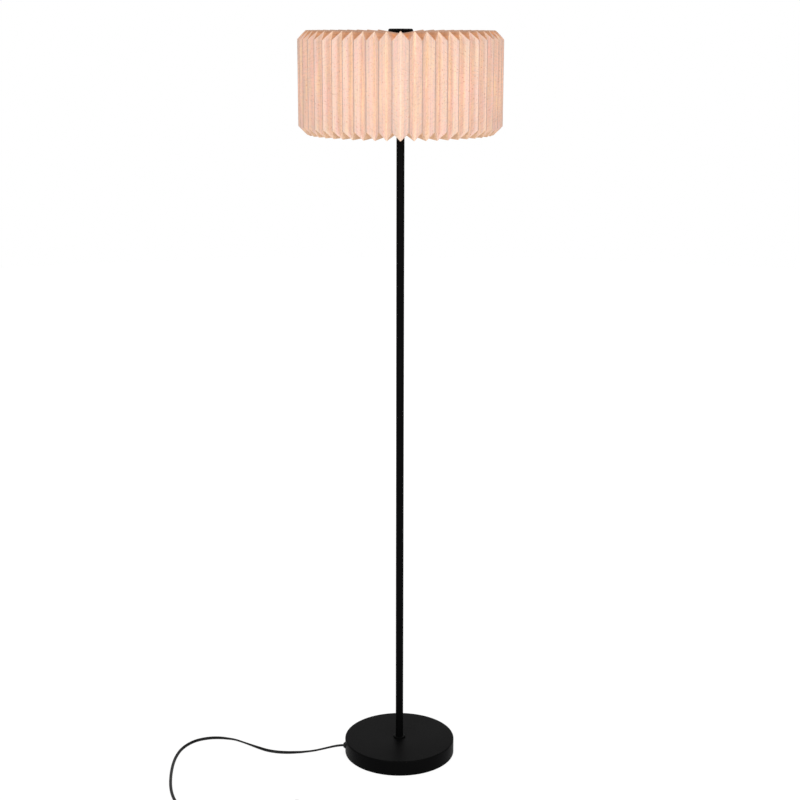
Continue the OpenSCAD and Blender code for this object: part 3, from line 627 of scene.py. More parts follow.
class SheetValues:
    """Values over the pleated sheet that its glow and cloth read: its threads, folds, ends and place."""

    def __init__(self, net: Net, effects: Effects) -> None:
        """Adds the nodes that read them.

        Args:
            net: Net of the material.
            effects: The shared node groups.
        """
        self.net = net
        self.uv = net.place("UV")
        self.threads = net.group(effects.linen, {"Vector": self.uv})
        self.fold = net.add("Attribute", attribute_name="fold").outputs["Fac"]
        self.ends = net.add("Attribute", attribute_name="ends").outputs["Fac"]
        drift = net.span(net.noise(self.uv, 38.0), 0.0, 1.0, -0.05, 0.05)
        self.drifting_fold = net.math("ADD", self.fold, drift)
        place = net.place()
        self.height = net.add("SeparateXYZ", {0: place}).outputs[2]
        self.away = net.length(net.stretched(place, (1.0, 1.0, 0.0)))
        self.speck = net.math("MULTIPLY", self.threads["Flecks"], 0.6)

    def by_end(self, side: object, roof: object, foot: object) -> Socket:
        """Colour of the side, the closed top and the lower fan, blended over their corners."""
        upper = self.net.mix(self.net.span(self.ends, 0.0, 1.0), side, roof)
        return self.net.mix(self.net.span(self.ends, 0.0, -1.0), upper, foot)


@dataclass(frozen=True)
class GlowingLinen:
    """Stiffened linen-textured sheet with painted light from the bulb behind it: palest along inner folds,
    painted shade greyer at outer ones.
    """

    name: str = "pleated_linen"
    cloth: Colour = tint(193, 190, 189)
    # Painted shade: the closed top's cloth is darker than the side's.
    shaded_roof_cloth: Colour = tint(164, 134, 110)
    foot_cloth: Colour = tint(184, 160, 138)
    # Glow tints are painted light: at_fold the pale inner folds, panel the rest, edge the painted shade at
    # outer folds.
    at_fold: Colour = tint(195, 150, 106)
    panel: Colour = tint(172, 117, 80)
    edge: Colour = tint(118, 78, 56)
    # Painted light of the closed top: ridge greyer, slope beside it, valley orange deep inside, eave paler
    # near the rim.
    ridge: Colour = tint(150, 116, 98)
    slope: Colour = tint(174, 118, 82)
    valley: Colour = tint(222, 128, 30)
    eave: Colour = tint(186, 136, 114)
    foot: Colour = tint(170, 132, 102)
    pink: Colour = tint(175, 110, 90)
    cream: Colour = tint(178, 130, 74)
    fleck: Colour = tint(150, 92, 60)
    strength: float = 1.0

    def side_glow(self, sheet: SheetValues) -> Socket:
        """Painted light of the side: a ramp from the palest inner fold to painted shade at the outer one, with
        pinker and creamier panels.

        Args:
            sheet: Values over the sheet.

        Returns:
            The colour.
        """
        net = sheet.net
        ramp = net.add("ValToRGB", {"Fac": sheet.drifting_fold})
        # Painted light near the inner fold, painted shade (edge) at the outer fold.
        stops = [(0.0, self.at_fold), (0.28, self.panel), (0.92, self.panel)]
        stops += [(0.97, self.edge), (1.0, self.edge)]
        while len(ramp.color_ramp.elements) < len(stops):
            ramp.color_ramp.elements.new(0.5)
        for element, (place, colour) in zip(ramp.color_ramp.elements, stops):
            element.position = place
            element.color = (*colour, 1.0)
        hue = net.streaks(sheet.uv, (120.0, 12.0, 1.0))
        glow = net.mix(net.span(hue, 0.52, 0.64, 0.0, 0.75), ramp.outputs[0], self.pink)
        glow = net.mix(net.span(hue, 0.49, 0.36, 0.0, 0.9), glow, self.cream)
        return net.mix(net.span(sheet.fold, 0.88, 0.95), glow, ramp.outputs[0])

    def roof_glow(self, sheet: SheetValues) -> Socket:
        """Painted light of the closed top: painted shade greyer at the ridges, and folds seen edge-on orange
        deep inside and paler near the rim.

        Args:
            sheet: Values over the sheet.

        Returns:
            The colour.
        """
        net = sheet.net
        slopes = net.mix(net.span(sheet.drifting_fold, 0.02, 0.2), self.ridge, self.slope)
        # Painted light that changes with the view: folds seen edge-on take the warm glow.
        edge_on = net.add("LayerWeight", {"Blend": 0.5}).outputs["Facing"]
        deep = net.math("MULTIPLY", net.span(edge_on, 0.84, 0.97), net.span(sheet.fold, 0.1, 0.3))
        return net.mix(deep, slopes, net.mix(net.span(sheet.away, 0.125, 0.155), self.valley, self.eave))

    def level(self, sheet: SheetValues) -> Socket:
        """Strength of the painted glow: it varies with the threads, and falls towards the upper and lower
        rims.

        Args:
            sheet: Values over the sheet.

        Returns:
            The same level as red, green and blue.
        """
        net, threads = sheet.net, sheet.threads
        level = net.span(threads["Streaks"], 0.0, 1.0, 0.76, 1.24)
        for values in (
            (threads["Mottle"], 0.0, 1.0, 0.8, 1.2),
            (threads["Slubs"], 0.0, 1.0, 1.0, 0.86),
            (threads["Threads"], 0.3, 0.7, 0.9, 1.1),
            # Painted light: the glow is brightest near the bulb's height and fades towards the rims.
            (sheet.height, 1.33, 1.405, 0.93, 1.03),
            (sheet.height, 1.42, 1.5, 1.0, 0.92),
        ):
            level = net.math("MULTIPLY", level, net.span(*values))
        return net.add("CombineColor", {0: level, 1: level, 2: level}).outputs[0]

    def cloth_and_painted_shade(self, sheet: SheetValues) -> Socket:
        """Colour of the sheet with painted shade: darker on the closed top and greyer at the outer folds;
        warmer on the lower fan and in its mottle and slubs.

        Args:
            sheet: Values over the sheet.

        Returns:
            The colour.
        """
        net = sheet.net
        colour = sheet.by_end(self.cloth, self.shaded_roof_cloth, self.foot_cloth)
        # Painted shade: greyer along the outer folds.
        colour = net.mix(net.span(sheet.fold, 0.93, 0.98, 0.0, 0.4), colour, self.edge)
        for key in ("Mottle", "Slubs"):
            colour = net.mix(net.math("MULTIPLY", sheet.threads[key], 0.25), colour, self.foot_cloth)
        return net.mix(sheet.speck, colour, self.fleck)

    def build(self, effects: Effects) -> Material:
        """Builds the material.

        Args:
            effects: The shared node groups.

        Returns:
            The material.
        """
        material, net = new_material(self.name)
        sheet = SheetValues(net, effects)
        threads = sheet.threads["Threads"]
        # The sheet's emission is painted light: the bulb shining through it, not a lamp of its own.
        glow = sheet.by_end(self.side_glow(sheet), self.roof_glow(sheet), self.foot)
        glow = net.mix(1.0, net.mix(sheet.speck, glow, self.fleck), self.level(sheet), "MULTIPLY")
        bump = net.add("Bump", {"Height": threads, "Distance": 0.0002, "Strength": 1.0})
        net.shade(
            {
                "Base Color": self.cloth_and_painted_shade(sheet),
                "Roughness": net.span(threads, 0.2, 0.8, 0.82, 0.95),
                "Specular IOR Level": 0.2,
                "Sheen Weight": 0.15,
                "Emission Color": glow,
                "Emission Strength": self.strength,
                "Normal": bump.outputs["Normal"],
            }
        )
        return material


@dataclass(frozen=True)
class OpalGlow:
    """Opal bulb glass with its light on, a little warmer where the glass is thick at its foot.

    A camera that looks straight at it sees the glass itself, warmer towards its outline, as with a small
    aperture.
    """

    name: str = "opal"
    glass: Colour = (0.86, 0.84, 0.78)
    light: Colour = (1.0, 0.78, 0.5)
    foot: Colour = (0.9, 0.55, 0.28)
    middle: Colour = (1.0, 0.9, 0.72)
    outline: Colour = (0.93, 0.6, 0.3)
    strength: float = 18.0
    seen: float = 0.34

    def build(self, effects: Effects) -> Material:
        """Builds the material.

        Args:
            effects: The shared node groups.

        Returns:
            The material.
        """
        material, net = new_material(self.name)
        place = net.place()
        height = net.add("SeparateXYZ", {0: place}).outputs[2]
        patches = net.group(effects.grain, {"Vector": place, "Grain": 700.0, "Patches": 30.0})["Patches"]
        cloud = net.span(patches, 0.0, 1.0, 0.0, 0.12)
        warm = net.mix(net.math("ADD", net.span(height, 1.43, 1.4, 0.0, 0.7), cloud), self.light, self.foot)
        facing = net.add("LayerWeight", {"Blend": 0.35}).outputs["Facing"]
        pale = net.mix(net.span(facing, 0.0, 0.9), self.middle, self.outline)
        straight = net.add("LightPath").outputs["Is Camera Ray"]
        net.shade(
            {
                "Base Color": net.mix(cloud, self.glass, self.light),
                "Roughness": net.span(patches, 0.0, 1.0, 0.28, 0.36),
                "Emission Color": net.mix(straight, warm, net.mix(0.3, pale, warm)),
                "Emission Strength": net.span(straight, 0.0, 1.0, self.strength, self.seen),
            }
        )
        return material


class Slot(Enum):
    """Finishes of the lamp, by the record's names for them."""

    POWDER = Finish(
        "black_powder", (0.0026, 0.0026, 0.0027), (0.0034, 0.0034, 0.0035), (0.4, 0.48),
        specular=0.016, grains=2600.0, patches=9.0, relief=1.2e-5, dust=0.006,
    )
    STEEL = Finish(
        "zinc_steel", (0.52, 0.53, 0.55), (0.42, 0.43, 0.46), (0.28, 0.42),
        metallic=1.0, grains=700.0, patches=60.0, relief=1e-5,
    )
    IRON = Finish(
        "cast_iron", (0.05, 0.05, 0.052), (0.085, 0.08, 0.076), (0.7, 0.85),
        metallic=0.3, specular=0.3, grains=420.0, patches=40.0, relief=2e-4,
    )
    FOAM = Finish(
        "foam", (0.02, 0.02, 0.02), (0.034, 0.034, 0.034), (0.85, 0.95),
        specular=0.2, grains=1400.0, patches=90.0, relief=2.5e-4,
    )
    PLASTIC = Finish(
        "black_plastic", (0.009, 0.009, 0.009), (0.013, 0.013, 0.013), (0.5, 0.62),
        specular=0.2, grains=2200.0, patches=30.0, relief=4e-5, dust=0.02,
    )
    GLOSS = Finish(
        "black_gloss", (0.005, 0.005, 0.005), (0.008, 0.008, 0.008), (0.26, 0.4),
        specular=0.2, grains=1800.0, patches=45.0, relief=1e-5, dust=0.03,
    )
    FLEX = Finish(
        "black_flex", (0.003, 0.003, 0.003), (0.005, 0.005, 0.005), (0.36, 0.5),
        specular=0.12, patches=30.0, relief=3e-5, run=Grain.ALONG_LEAD, on_surface=True,
    )
    CERAMIC = Finish(
        "ceramic", (0.78, 0.75, 0.68), (0.68, 0.64, 0.56), (0.5, 0.7),
        specular=0.4, grains=800.0, patches=120.0, relief=4e-5,
    )
    BRASS = Finish(
        "brass", (0.72, 0.52, 0.2), (0.55, 0.36, 0.13), (0.22, 0.4), metallic=1.0, patches=90.0, relief=1e-5
    )
    OPAL = OpalGlow()
    WHITE = Finish(
        "white_plastic", (0.8, 0.79, 0.75), (0.72, 0.7, 0.64), (0.3, 0.42),
        specular=0.4, grains=1500.0, patches=70.0, relief=1e-5,
    )
    NICKEL = Finish(
        "nickel", (0.66, 0.63, 0.58), (0.55, 0.52, 0.47), (0.16, 0.3),
        metallic=1.0, grains=1200.0, patches=80.0, relief=5e-6,
    )
    LINEN = GlowingLinen()


class Dresser:
    """Gives each piece its finish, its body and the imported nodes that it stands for."""

    def __init__(self) -> None:
        """Builds the shared effects and every finish."""
        effects = Effects()
        self.materials = {slot: slot.value.build(effects) for slot in Slot}

    def dress(self, piece: Piece, slot: Slot, body: str = "root", nodes: tuple[str, ...] = ()) -> Piece:
        """Dresses a new piece.

        Args:
            piece: The piece.
            slot: Its finish.
            body: The body that it rides on.
            nodes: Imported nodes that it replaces.

        Returns:
            The piece.
        """
        piece.data.materials.append(self.materials[slot])
        if nodes:
            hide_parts(*nodes)
        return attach(piece, body)

    def dress_all(self, body: str, rows: list[tuple[Piece, Slot, str]]) -> list[Piece]:
        """Dresses pieces that ride on one body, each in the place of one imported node."""
        return [self.dress(piece, slot, body, (node,)) for piece, slot, node in rows]

    def dress_nodes(self, slot: Slot, *nodes: str) -> list[Piece]:
        """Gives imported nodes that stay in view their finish.

        Args:
            slot: Their finish.
            nodes: Names of the nodes.

        Returns:
            Their objects.
        """
        pieces = [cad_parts[node] for node in nodes]
        for piece in pieces:
            piece.data.materials.clear()
            piece.data.materials.append(self.materials[slot])
        log.info("packed nodes %s: %s", ", ".join(nodes), slot.value.name)
        return pieces


# The lamp


@dataclass(frozen=True)
class WeightedBase:
    """Round base: a pressed steel cover over a cast weight, on a foam pad."""

    radius: float = radius_of("base_cover")
    height: float = top_of("base_cover")
    foot: float = foot_of("base_cover")
    wall: float = 0.0015
    edge: float = 0.003
    thread_hole: float = 0.0052
    pad_radius: float = radius_of("base_pad")
    pad_height: float = top_of("base_pad")
    pad_margin: float = 0.002
    pad_edge: float = 0.0006
    pad_groove: float = 0.00012
    pad_grooves: float = 900.0
    lead_side: float = 183.0
    lead_height: float = 0.015
    grommet_radius: float = 0.007
    grommet_out: float = 0.004
    grommet_sunk: float = 0.0006
    way_radius: float = 0.0022
    way_spread: float = 0.00125

    def cover(self) -> Piece:
        """The cover: one turned wall with a rounded top edge and a rolled foot.

        Returns:
            The cover.
        """
        r, h, t, hole = self.radius, self.height, self.wall, self.thread_hole
        corners = [(r - t, self.foot), (r, self.foot), (r, h), (hole, h), (hole, h - t), (r - t, h - t)]
        radii = [0.0005, 0.0008, self.edge, CRISP, CRISP, self.edge - t]
        return write_mesh("pressed_cover", [turned(softened(corners, radii, steps=9), 224)])

    def pad(self) -> Piece:
        """The foam pad: a turned disc with soft edges and shallow rings of depth d (1 - cos(k r)).

        Returns:
            The pad.
        """
        r, h, soft = self.pad_radius, self.pad_height, self.pad_edge
        rings = np.linspace(0, r - self.pad_margin, 30)
        under = np.column_stack([rings, self.pad_groove * (1 - np.cos(rings * self.pad_grooves))])
        corners = [(r - self.pad_margin, 0.0), (r, 0.0), (r, h), (0.0, h)]
        rim = softened(corners, [0.0, soft, soft, 0.0], closed=False)
        return write_mesh("foam_pad", [turned(np.vstack([under, rim]), 128)])

    def grommet(self) -> Piece:
        """The grommet: a flange and a boss lofted from round to the oval way of the lead.

        Returns:
            The grommet, on the base's side.
        """
        angle = np.radians(np.linspace(0, 360, 49))
        circle = np.stack([np.cos(angle), np.sin(angle)], 1)
        spread = np.sign(np.round(np.cos(angle), 6)) * self.way_spread
        oval = self.way_radius * circle + np.stack([spread, np.zeros(49)], 1)
        r, out, sunk = self.grommet_radius, self.grommet_out, self.grommet_sunk
        corners = [(r - 0.0012, -sunk), (r, -sunk), (r, 0.0016), (r - 0.0016, 0.002), (r - 0.002, out)]
        profile = softened(corners, [0.0, CRISP, 0.0007, 0.0004, 0.0008], closed=False)
        rows = [(d * circle, z) for d, z in profile]
        rows += [(1.12 * oval, out), (oval, out - sunk), (oval, -sunk), rows[0]]
        side = math.radians(self.lead_side)
        outward = np.array([math.cos(side), math.sin(side), 0.0])
        turn = np.stack([np.cross(outward, UP), UP, outward], 1)
        shift = (*(outward[:2] * self.radius), self.lead_height)
        return write_mesh("lead_grommet", [lofted(rows).placed(turn, shift)])

    def build(self, dresser: Dresser) -> None:
        """Builds and dresses the base.

        Args:
            dresser: Gives the finishes.
        """
        dresser.dress_all(
            "root",
            [
                (self.cover(), Slot.POWDER, "base_cover"),
                (self.pad(), Slot.FOAM, "base_pad"),
                (self.grommet(), Slot.PLASTIC, "cord_grommet"),
            ],
        )
        nodes = ("base_plate", "base_screws", "base_nipple", "base_washer", "base_nut")
        dresser.dress_nodes(Slot.STEEL, *nodes)
        dresser.dress_nodes(Slot.IRON, "base_weight")


@dataclass(frozen=True)
class Pole:
    """Three tube sections screwed end to end, with a collar at their foot."""

    radius: float = radius_of("pole_lower")
    wall: float = 0.0012
    bush: float = 0.014
    thread_hole: float = 0.00505
    collar_radius: float = radius_of("pole_collar")
    collar_hole: float = 0.0052
    collar_dome: float = 0.003

    def tube(self, part: str) -> Piece:
        """One section: a turned tube with a threaded bush in each end.

        Args:
            part: Which section it is: lower, middle or upper.

        Returns:
            The section.
        """
        r, hole, inner, bush = self.radius, self.thread_hole, self.radius - self.wall, self.bush
        z, top = foot_of("pole_" + part), top_of("pole_" + part)
        outside = [(hole, z), (r, z), (r, top), (hole, top)]
        inside = [(hole, top - bush), (inner, top - bush), (inner, z + bush), (hole, z + bush)]
        outline = softened(outside + inside, [CRISP] * 4 + [0.0] * 4, steps=3)
        return write_mesh("tube_" + part, [turned(outline, 64)])

    def collar(self) -> Piece:
        """The collar: a turned ring with a domed shoulder.

        Returns:
            The collar.
        """
        r, hole = self.collar_radius, self.collar_hole
        z, top = foot_of("pole_collar"), top_of("pole_collar")
        corners = [(hole, z), (r, z), (r, top), (hole, top)]
        outline = softened(corners, [0.0, CRISP, self.collar_dome, CRISP], steps=9)
        return write_mesh("foot_collar", [turned(outline, 96)])

    def build(self, dresser: Dresser) -> None:
        """Builds and dresses the pole.

        Args:
            dresser: Gives the finishes.
        """
        tubes = [(self.tube(part), Slot.POWDER, "pole_" + part) for part in ("lower", "middle", "upper")]
        dresser.dress_all("root", tubes + [(self.collar(), Slot.POWDER, "pole_collar")])
        dresser.dress_nodes(Slot.STEEL, "pole_nipples", "top_nipple")


@dataclass(frozen=True)
class Lampholder:
    """Lampholder with its cap, ribbed sleeve, terminal block and threaded shell."""

    radius: float = radius_of("holder_cap")
    wall: float = 0.0022
    floor: float = 0.003
    waist: float = 0.006
    thread_hole: float = 0.0052
    ribs: int = 60
    rib_depth: float = 0.00018
    rib_bed: float = 0.0003
    shell_radius: float = 0.0137
    shell_wall: float = 0.0006
    shell_floor: float = 0.009

    def cap(self) -> Piece:
        """The holder's cap: a turned cup that closes in to the pole.

        Returns:
            The cap.
        """
        z, top = foot_of("holder_cap"), top_of("holder_cap")
        r, t, hole = self.radius, self.wall, self.thread_hole
        floor, waist = z + self.floor, r - self.waist
        shoulder = z + 0.6 * (top - z)
        outside = [(hole, z), (waist, z), (r - 0.003, z + 0.0015), (r, shoulder), (r, top)]
        inside = [(r - t, top), (r - t, shoulder + 0.001), (waist, floor), (hole, floor)]
        radii = [0.0, 0.001, 0.003, 0.003, 0.0004, CRISP, 0.002, 0.001, 0.0]
        return write_mesh("holder_cup", [turned(softened(outside + inside, radii), 96)])

    def sleeve(self) -> Piece:
        """The sleeve: a turned wall with fine upright ribs between two plain bands.

        Returns:
            The sleeve.
        """
        r, t, z, top = self.radius, self.wall, foot_of("holder_sleeve"), top_of("holder_sleeve")
        mouth = self.shell_radius + self.shell_wall + 0.0016
        low, high, bed, ledge = z + 0.004, top - 0.006, r - self.rib_bed, r - 0.008
        outside = [(ledge, z), (r, z), (r, low), (bed, low + 0.0005)]
        outside += [(bed, high - 0.0005), (r, high), (r, top)]
        inside = [(mouth, top), (mouth, top - 0.004), (r - t, top - 0.007)]
        inside += [(r - t, z + 0.003), (ledge, z + 0.003)]
        radii = [0.0, 0.0004, 0.0003, 0.0003, 0.0003, 0.0003, 0.0012, 0.0004, 0.0004, 0.001, 0.0004, 0.0]
        outline = softened(outside + inside, radii, steps=4)
        on_wall = outline[:, 0] > r - 0.0005
        between = (outline[:, 1] > low + 0.0004) & (outline[:, 1] < high - 0.0004)
        ribs = Ribs(self.rib_depth, self.ribs, on_wall & between)
        return write_mesh("ribbed_sleeve", [turned(outline, self.ribs * 6, ribs)], sharp=60)

    def shell(self) -> Piece:
        """The threaded shell: a turned wall whose thread shows inside and out.

        Returns:
            The shell.
        """
        r, t, z, top = self.shell_radius, self.shell_wall, foot_of("screw_shell"), top_of("screw_shell")
        floor = self.shell_floor
        rows = np.linspace(z + 0.002, top - 0.001, 60)
        outer = np.column_stack([np.full(60, r + t + SCREW_DEPTH), rows])
        inner = np.column_stack([np.full(60, r + SCREW_DEPTH), rows[::-1]])
        foot = [(floor, z + t), (floor, z), (r + t, z)]
        lip = [(r + t + 0.0012, top), (r + 0.0009, top)]
        outline = np.vstack([foot, outer, lip, inner, [(r, z + t), (floor, z + t)]])
        thread = Thread(SCREW_DEPTH, SCREW_PITCH, z + 0.002, top - 0.0015)
        return write_mesh("threaded_shell", [turned(outline, 72, thread)])

    def build(self, dresser: Dresser) -> None:
        """Builds and dresses the lampholder.

        Args:
            dresser: Gives the finishes.
        """
        dresser.dress_all(
            "root",
            [
                (self.cap(), Slot.GLOSS, "holder_cap"),
                (self.sleeve(), Slot.GLOSS, "holder_sleeve"),
                (self.shell(), Slot.BRASS, "screw_shell"),
            ],
        )
        dresser.dress_nodes(Slot.CERAMIC, "terminal_block")
        dresser.dress_nodes(Slot.BRASS, "centre_contact")


@dataclass(frozen=True)
class Bulb:
    """Opal globe bulb on a plastic collar and a threaded cap."""

    tip: float = foot_of("bulb_contact")
    tip_top: float = top_of("bulb_contact")
    collar_foot: float = top_of("bulb_cap")
    top: float = top_of("bulb_globe")
    radius: float = 0.03
    wall: float = 0.0012
    cut: float = 0.0168
    cap_radius: float = 0.0131

    @property
    def centre(self) -> float:
        """Height of the globe's centre."""
        return self.top - self.radius

    def globe(self) -> Piece:
        """The globe: part of a sphere, (R sin p, c + R cos p), drawn in to its rim with a thin wall.

        Returns:
            The globe.
        """
        p = np.linspace(0, math.acos(-self.cut / self.radius), 48)
        sides = [(self.radius, p), (self.radius - self.wall, p[::-1])]
        arcs = [np.column_stack([r * np.sin(a), self.centre + r * np.cos(a)]) for r, a in sides]
        return write_mesh("opal_globe", [turned(np.vstack(arcs), 96)])

    def collar(self) -> Piece:
        """The collar: a turned trumpet from the cap to the globe.

        Returns:
            The collar.
        """
        z, top, r = self.collar_foot, self.centre - self.cut, self.cap_radius
        h, rim = top - z, math.sqrt(self.radius**2 - self.cut**2)
        trumpet = [(0.0, z), (r + 0.0006, z), (r + 0.0016, z + 0.2 * h)]
        trumpet += [(0.8 * rim, z + 0.6 * h), (0.95 * rim, z + 0.87 * h)]
        seat = [(rim - 0.0001, top), (rim - 0.0016, top), (rim - 0.0042, top + 0.002), (0.0, top + 0.002)]
        radii = [0.0, 0.0005, 0.003, 0.006, 0.003, CRISP, CRISP, 0.0005, 0.0]
        outline = softened(trumpet + seat, radii, closed=False, steps=7)
        return write_mesh("bulb_neck", [turned(outline, 96)])

    def cap(self) -> Piece:
        """The threaded cap: a turned wall with its thread, over a cone at its foot.

        Returns:
            The cap.
        """
        z, top, r = self.tip_top, self.collar_foot, self.cap_radius
        low = z + 0.0045
        wall = np.column_stack([np.full(60, r - SCREW_DEPTH), np.linspace(low, top - 0.0015, 60)])
        outline = np.vstack([[(0.0, z), (0.008, z)], wall, [(r, top - 0.001), (r, top), (0.0, top)]])
        thread = Thread(SCREW_DEPTH, SCREW_PITCH, low, top - 0.002)
        return write_mesh("threaded_cap", [turned(outline, 72, thread)])

    def contact(self) -> Piece:
        """The contact: a turned button on a black glass cone.

        Returns:
            The contact.
        """
        z, top = self.tip, self.tip_top
        corners = [(0.0, z), (0.0036, z), (0.0048, z + 0.001), (0.0076, top), (0.0, top)]
        outline = softened(corners, [0.0, 0.001, 0.0006, CRISP, 0.0], closed=False)
        return write_mesh("foot_contact", [turned(outline, 48)])

    def build(self, dresser: Dresser) -> None:
        """Builds and dresses the bulb.

        Args:
            dresser: Gives the finishes.
        """
        dresser.dress_all(
            "bulb",
            [
                (self.globe(), Slot.OPAL, "bulb_globe"),
                (self.collar(), Slot.WHITE, "bulb_collar"),
                (self.cap(), Slot.NICKEL, "bulb_cap"),
                (self.contact(), Slot.NICKEL, "bulb_contact"),
            ],
        )


@dataclass(frozen=True)
class Harp:
    """Wire harp that lifts off two pegs and carries the shade's seat and stud."""

    peg_x: float = 0.036
    peg_hole: float = 0.0021
    foot: float = top_of("harp_saddle") + SEAT_GAP
    top: float = foot_of("harp_seat")
    width: float = 0.106
    wire: float = 0.0032
    sleeve_radius: float = 0.0036
    grip_depth: float = 0.00015
    seat_radius: float = 0.012
    seat_height: float = 0.002
    stud_radius: float = 0.0031
    stud_pitch: float = 0.00094
    thread_depth: float = 0.00022

    def bow(self) -> Piece:
        """The bow: round wire carried along the mirrored half of its curve.

        Returns:
            The bow.
        """
        h, out = self.top - self.wire / 2 - self.foot, self.width / 2 - self.peg_x
        shares = [(0.0, 0.0), (0.0, 0.06), (0.18, 0.2), (0.72, 0.38)]
        shares += [(1.0, 0.58), (0.84, 0.76), (0.1, 0.91)]
        half = [(self.peg_x + x * out, self.foot + z * h) for x, z in shares]
        half.append((0.52 * self.peg_x, self.foot + 0.98 * h))
        half.append((self.seat_radius - 0.001, self.foot + 0.9975 * h))
        path = smooth_path([(-x, 0.0, z) for x, z in half] + [(x, 0.0, z) for x, z in half[::-1]], 12)
        wire = circle_outline(self.wire / 2, 20)
        return write_mesh("wire_bow", [swept(path, wire, side=np.array([0.0, 1.0, 0.0]))])

    def sleeves(self) -> Piece:
        """The two sleeves: turned tubes with rounded ends and a grip of fine rings.

        Returns:
            Both sleeves.
        """
        r, hole = self.sleeve_radius, self.peg_hole
        z, top = foot_of("harp_sleeves"), top_of("harp_sleeves")
        rings = np.linspace(0, 16 * np.pi, 65)
        dented = r - self.grip_depth * (1 - np.cos(rings))
        grip = np.column_stack([dented, np.linspace(z + 0.004, z + 0.012, 65)])
        corners = [(hole, z + 0.001), (hole, z), (r, z), (r, z + 0.003)]
        foot = softened(corners, [0, CRISP, 0.0008, 0], closed=False)
        corners = [(r, z + 0.013), (r, top), (hole, top), (hole, z + 0.001)]
        head = softened(corners, [0, 0.0012, 0.0003, 0], closed=False)
        tube = turned(np.vstack([foot, grip, head]), 40)
        sides = [tube.placed(np.eye(3), (side * self.peg_x, 0.0, 0.0)) for side in (-1, 1)]
        return write_mesh("sliding_sleeves", sides)

    def seat(self) -> Piece:
        """The seat: a turned disc, and a stud with its thread.

        Returns:
            The seat with its stud.
        """
        z, edge, r, d = self.top, self.seat_radius, self.stud_radius, self.thread_depth
        seat_top, stud_top = z + self.seat_height, top_of("harp_seat")
        low, high = seat_top + 0.0008, stud_top - 0.0012
        corners = [(0.0, z), (edge, z), (edge, seat_top), (r, seat_top)]
        disc = softened(corners, [0, 0.0005, 0.0005, 0], closed=False)
        stud = np.column_stack([np.full(150, r - d), np.linspace(low, high, 150)])
        outline = np.vstack([disc, stud, [(r - 0.0009, stud_top), (0.0, stud_top)]])
        thread = Thread(d, self.stud_pitch, low, high, fade=0.0005)
        return write_mesh("shade_seat", [turned(outline, 48, thread)])

    def build(self, dresser: Dresser) -> None:
        """Builds and dresses the harp.

        Args:
            dresser: Gives the finishes.
        """
        dresser.dress_all(
            "harp",
            [
                (self.bow(), Slot.POWDER, "harp_bow"),
                (self.sleeves(), Slot.POWDER, "harp_sleeves"),
                (self.seat(), Slot.STEEL, "harp_seat"),
            ],
        )
        dresser.dress_nodes(Slot.POWDER, "harp_saddle")


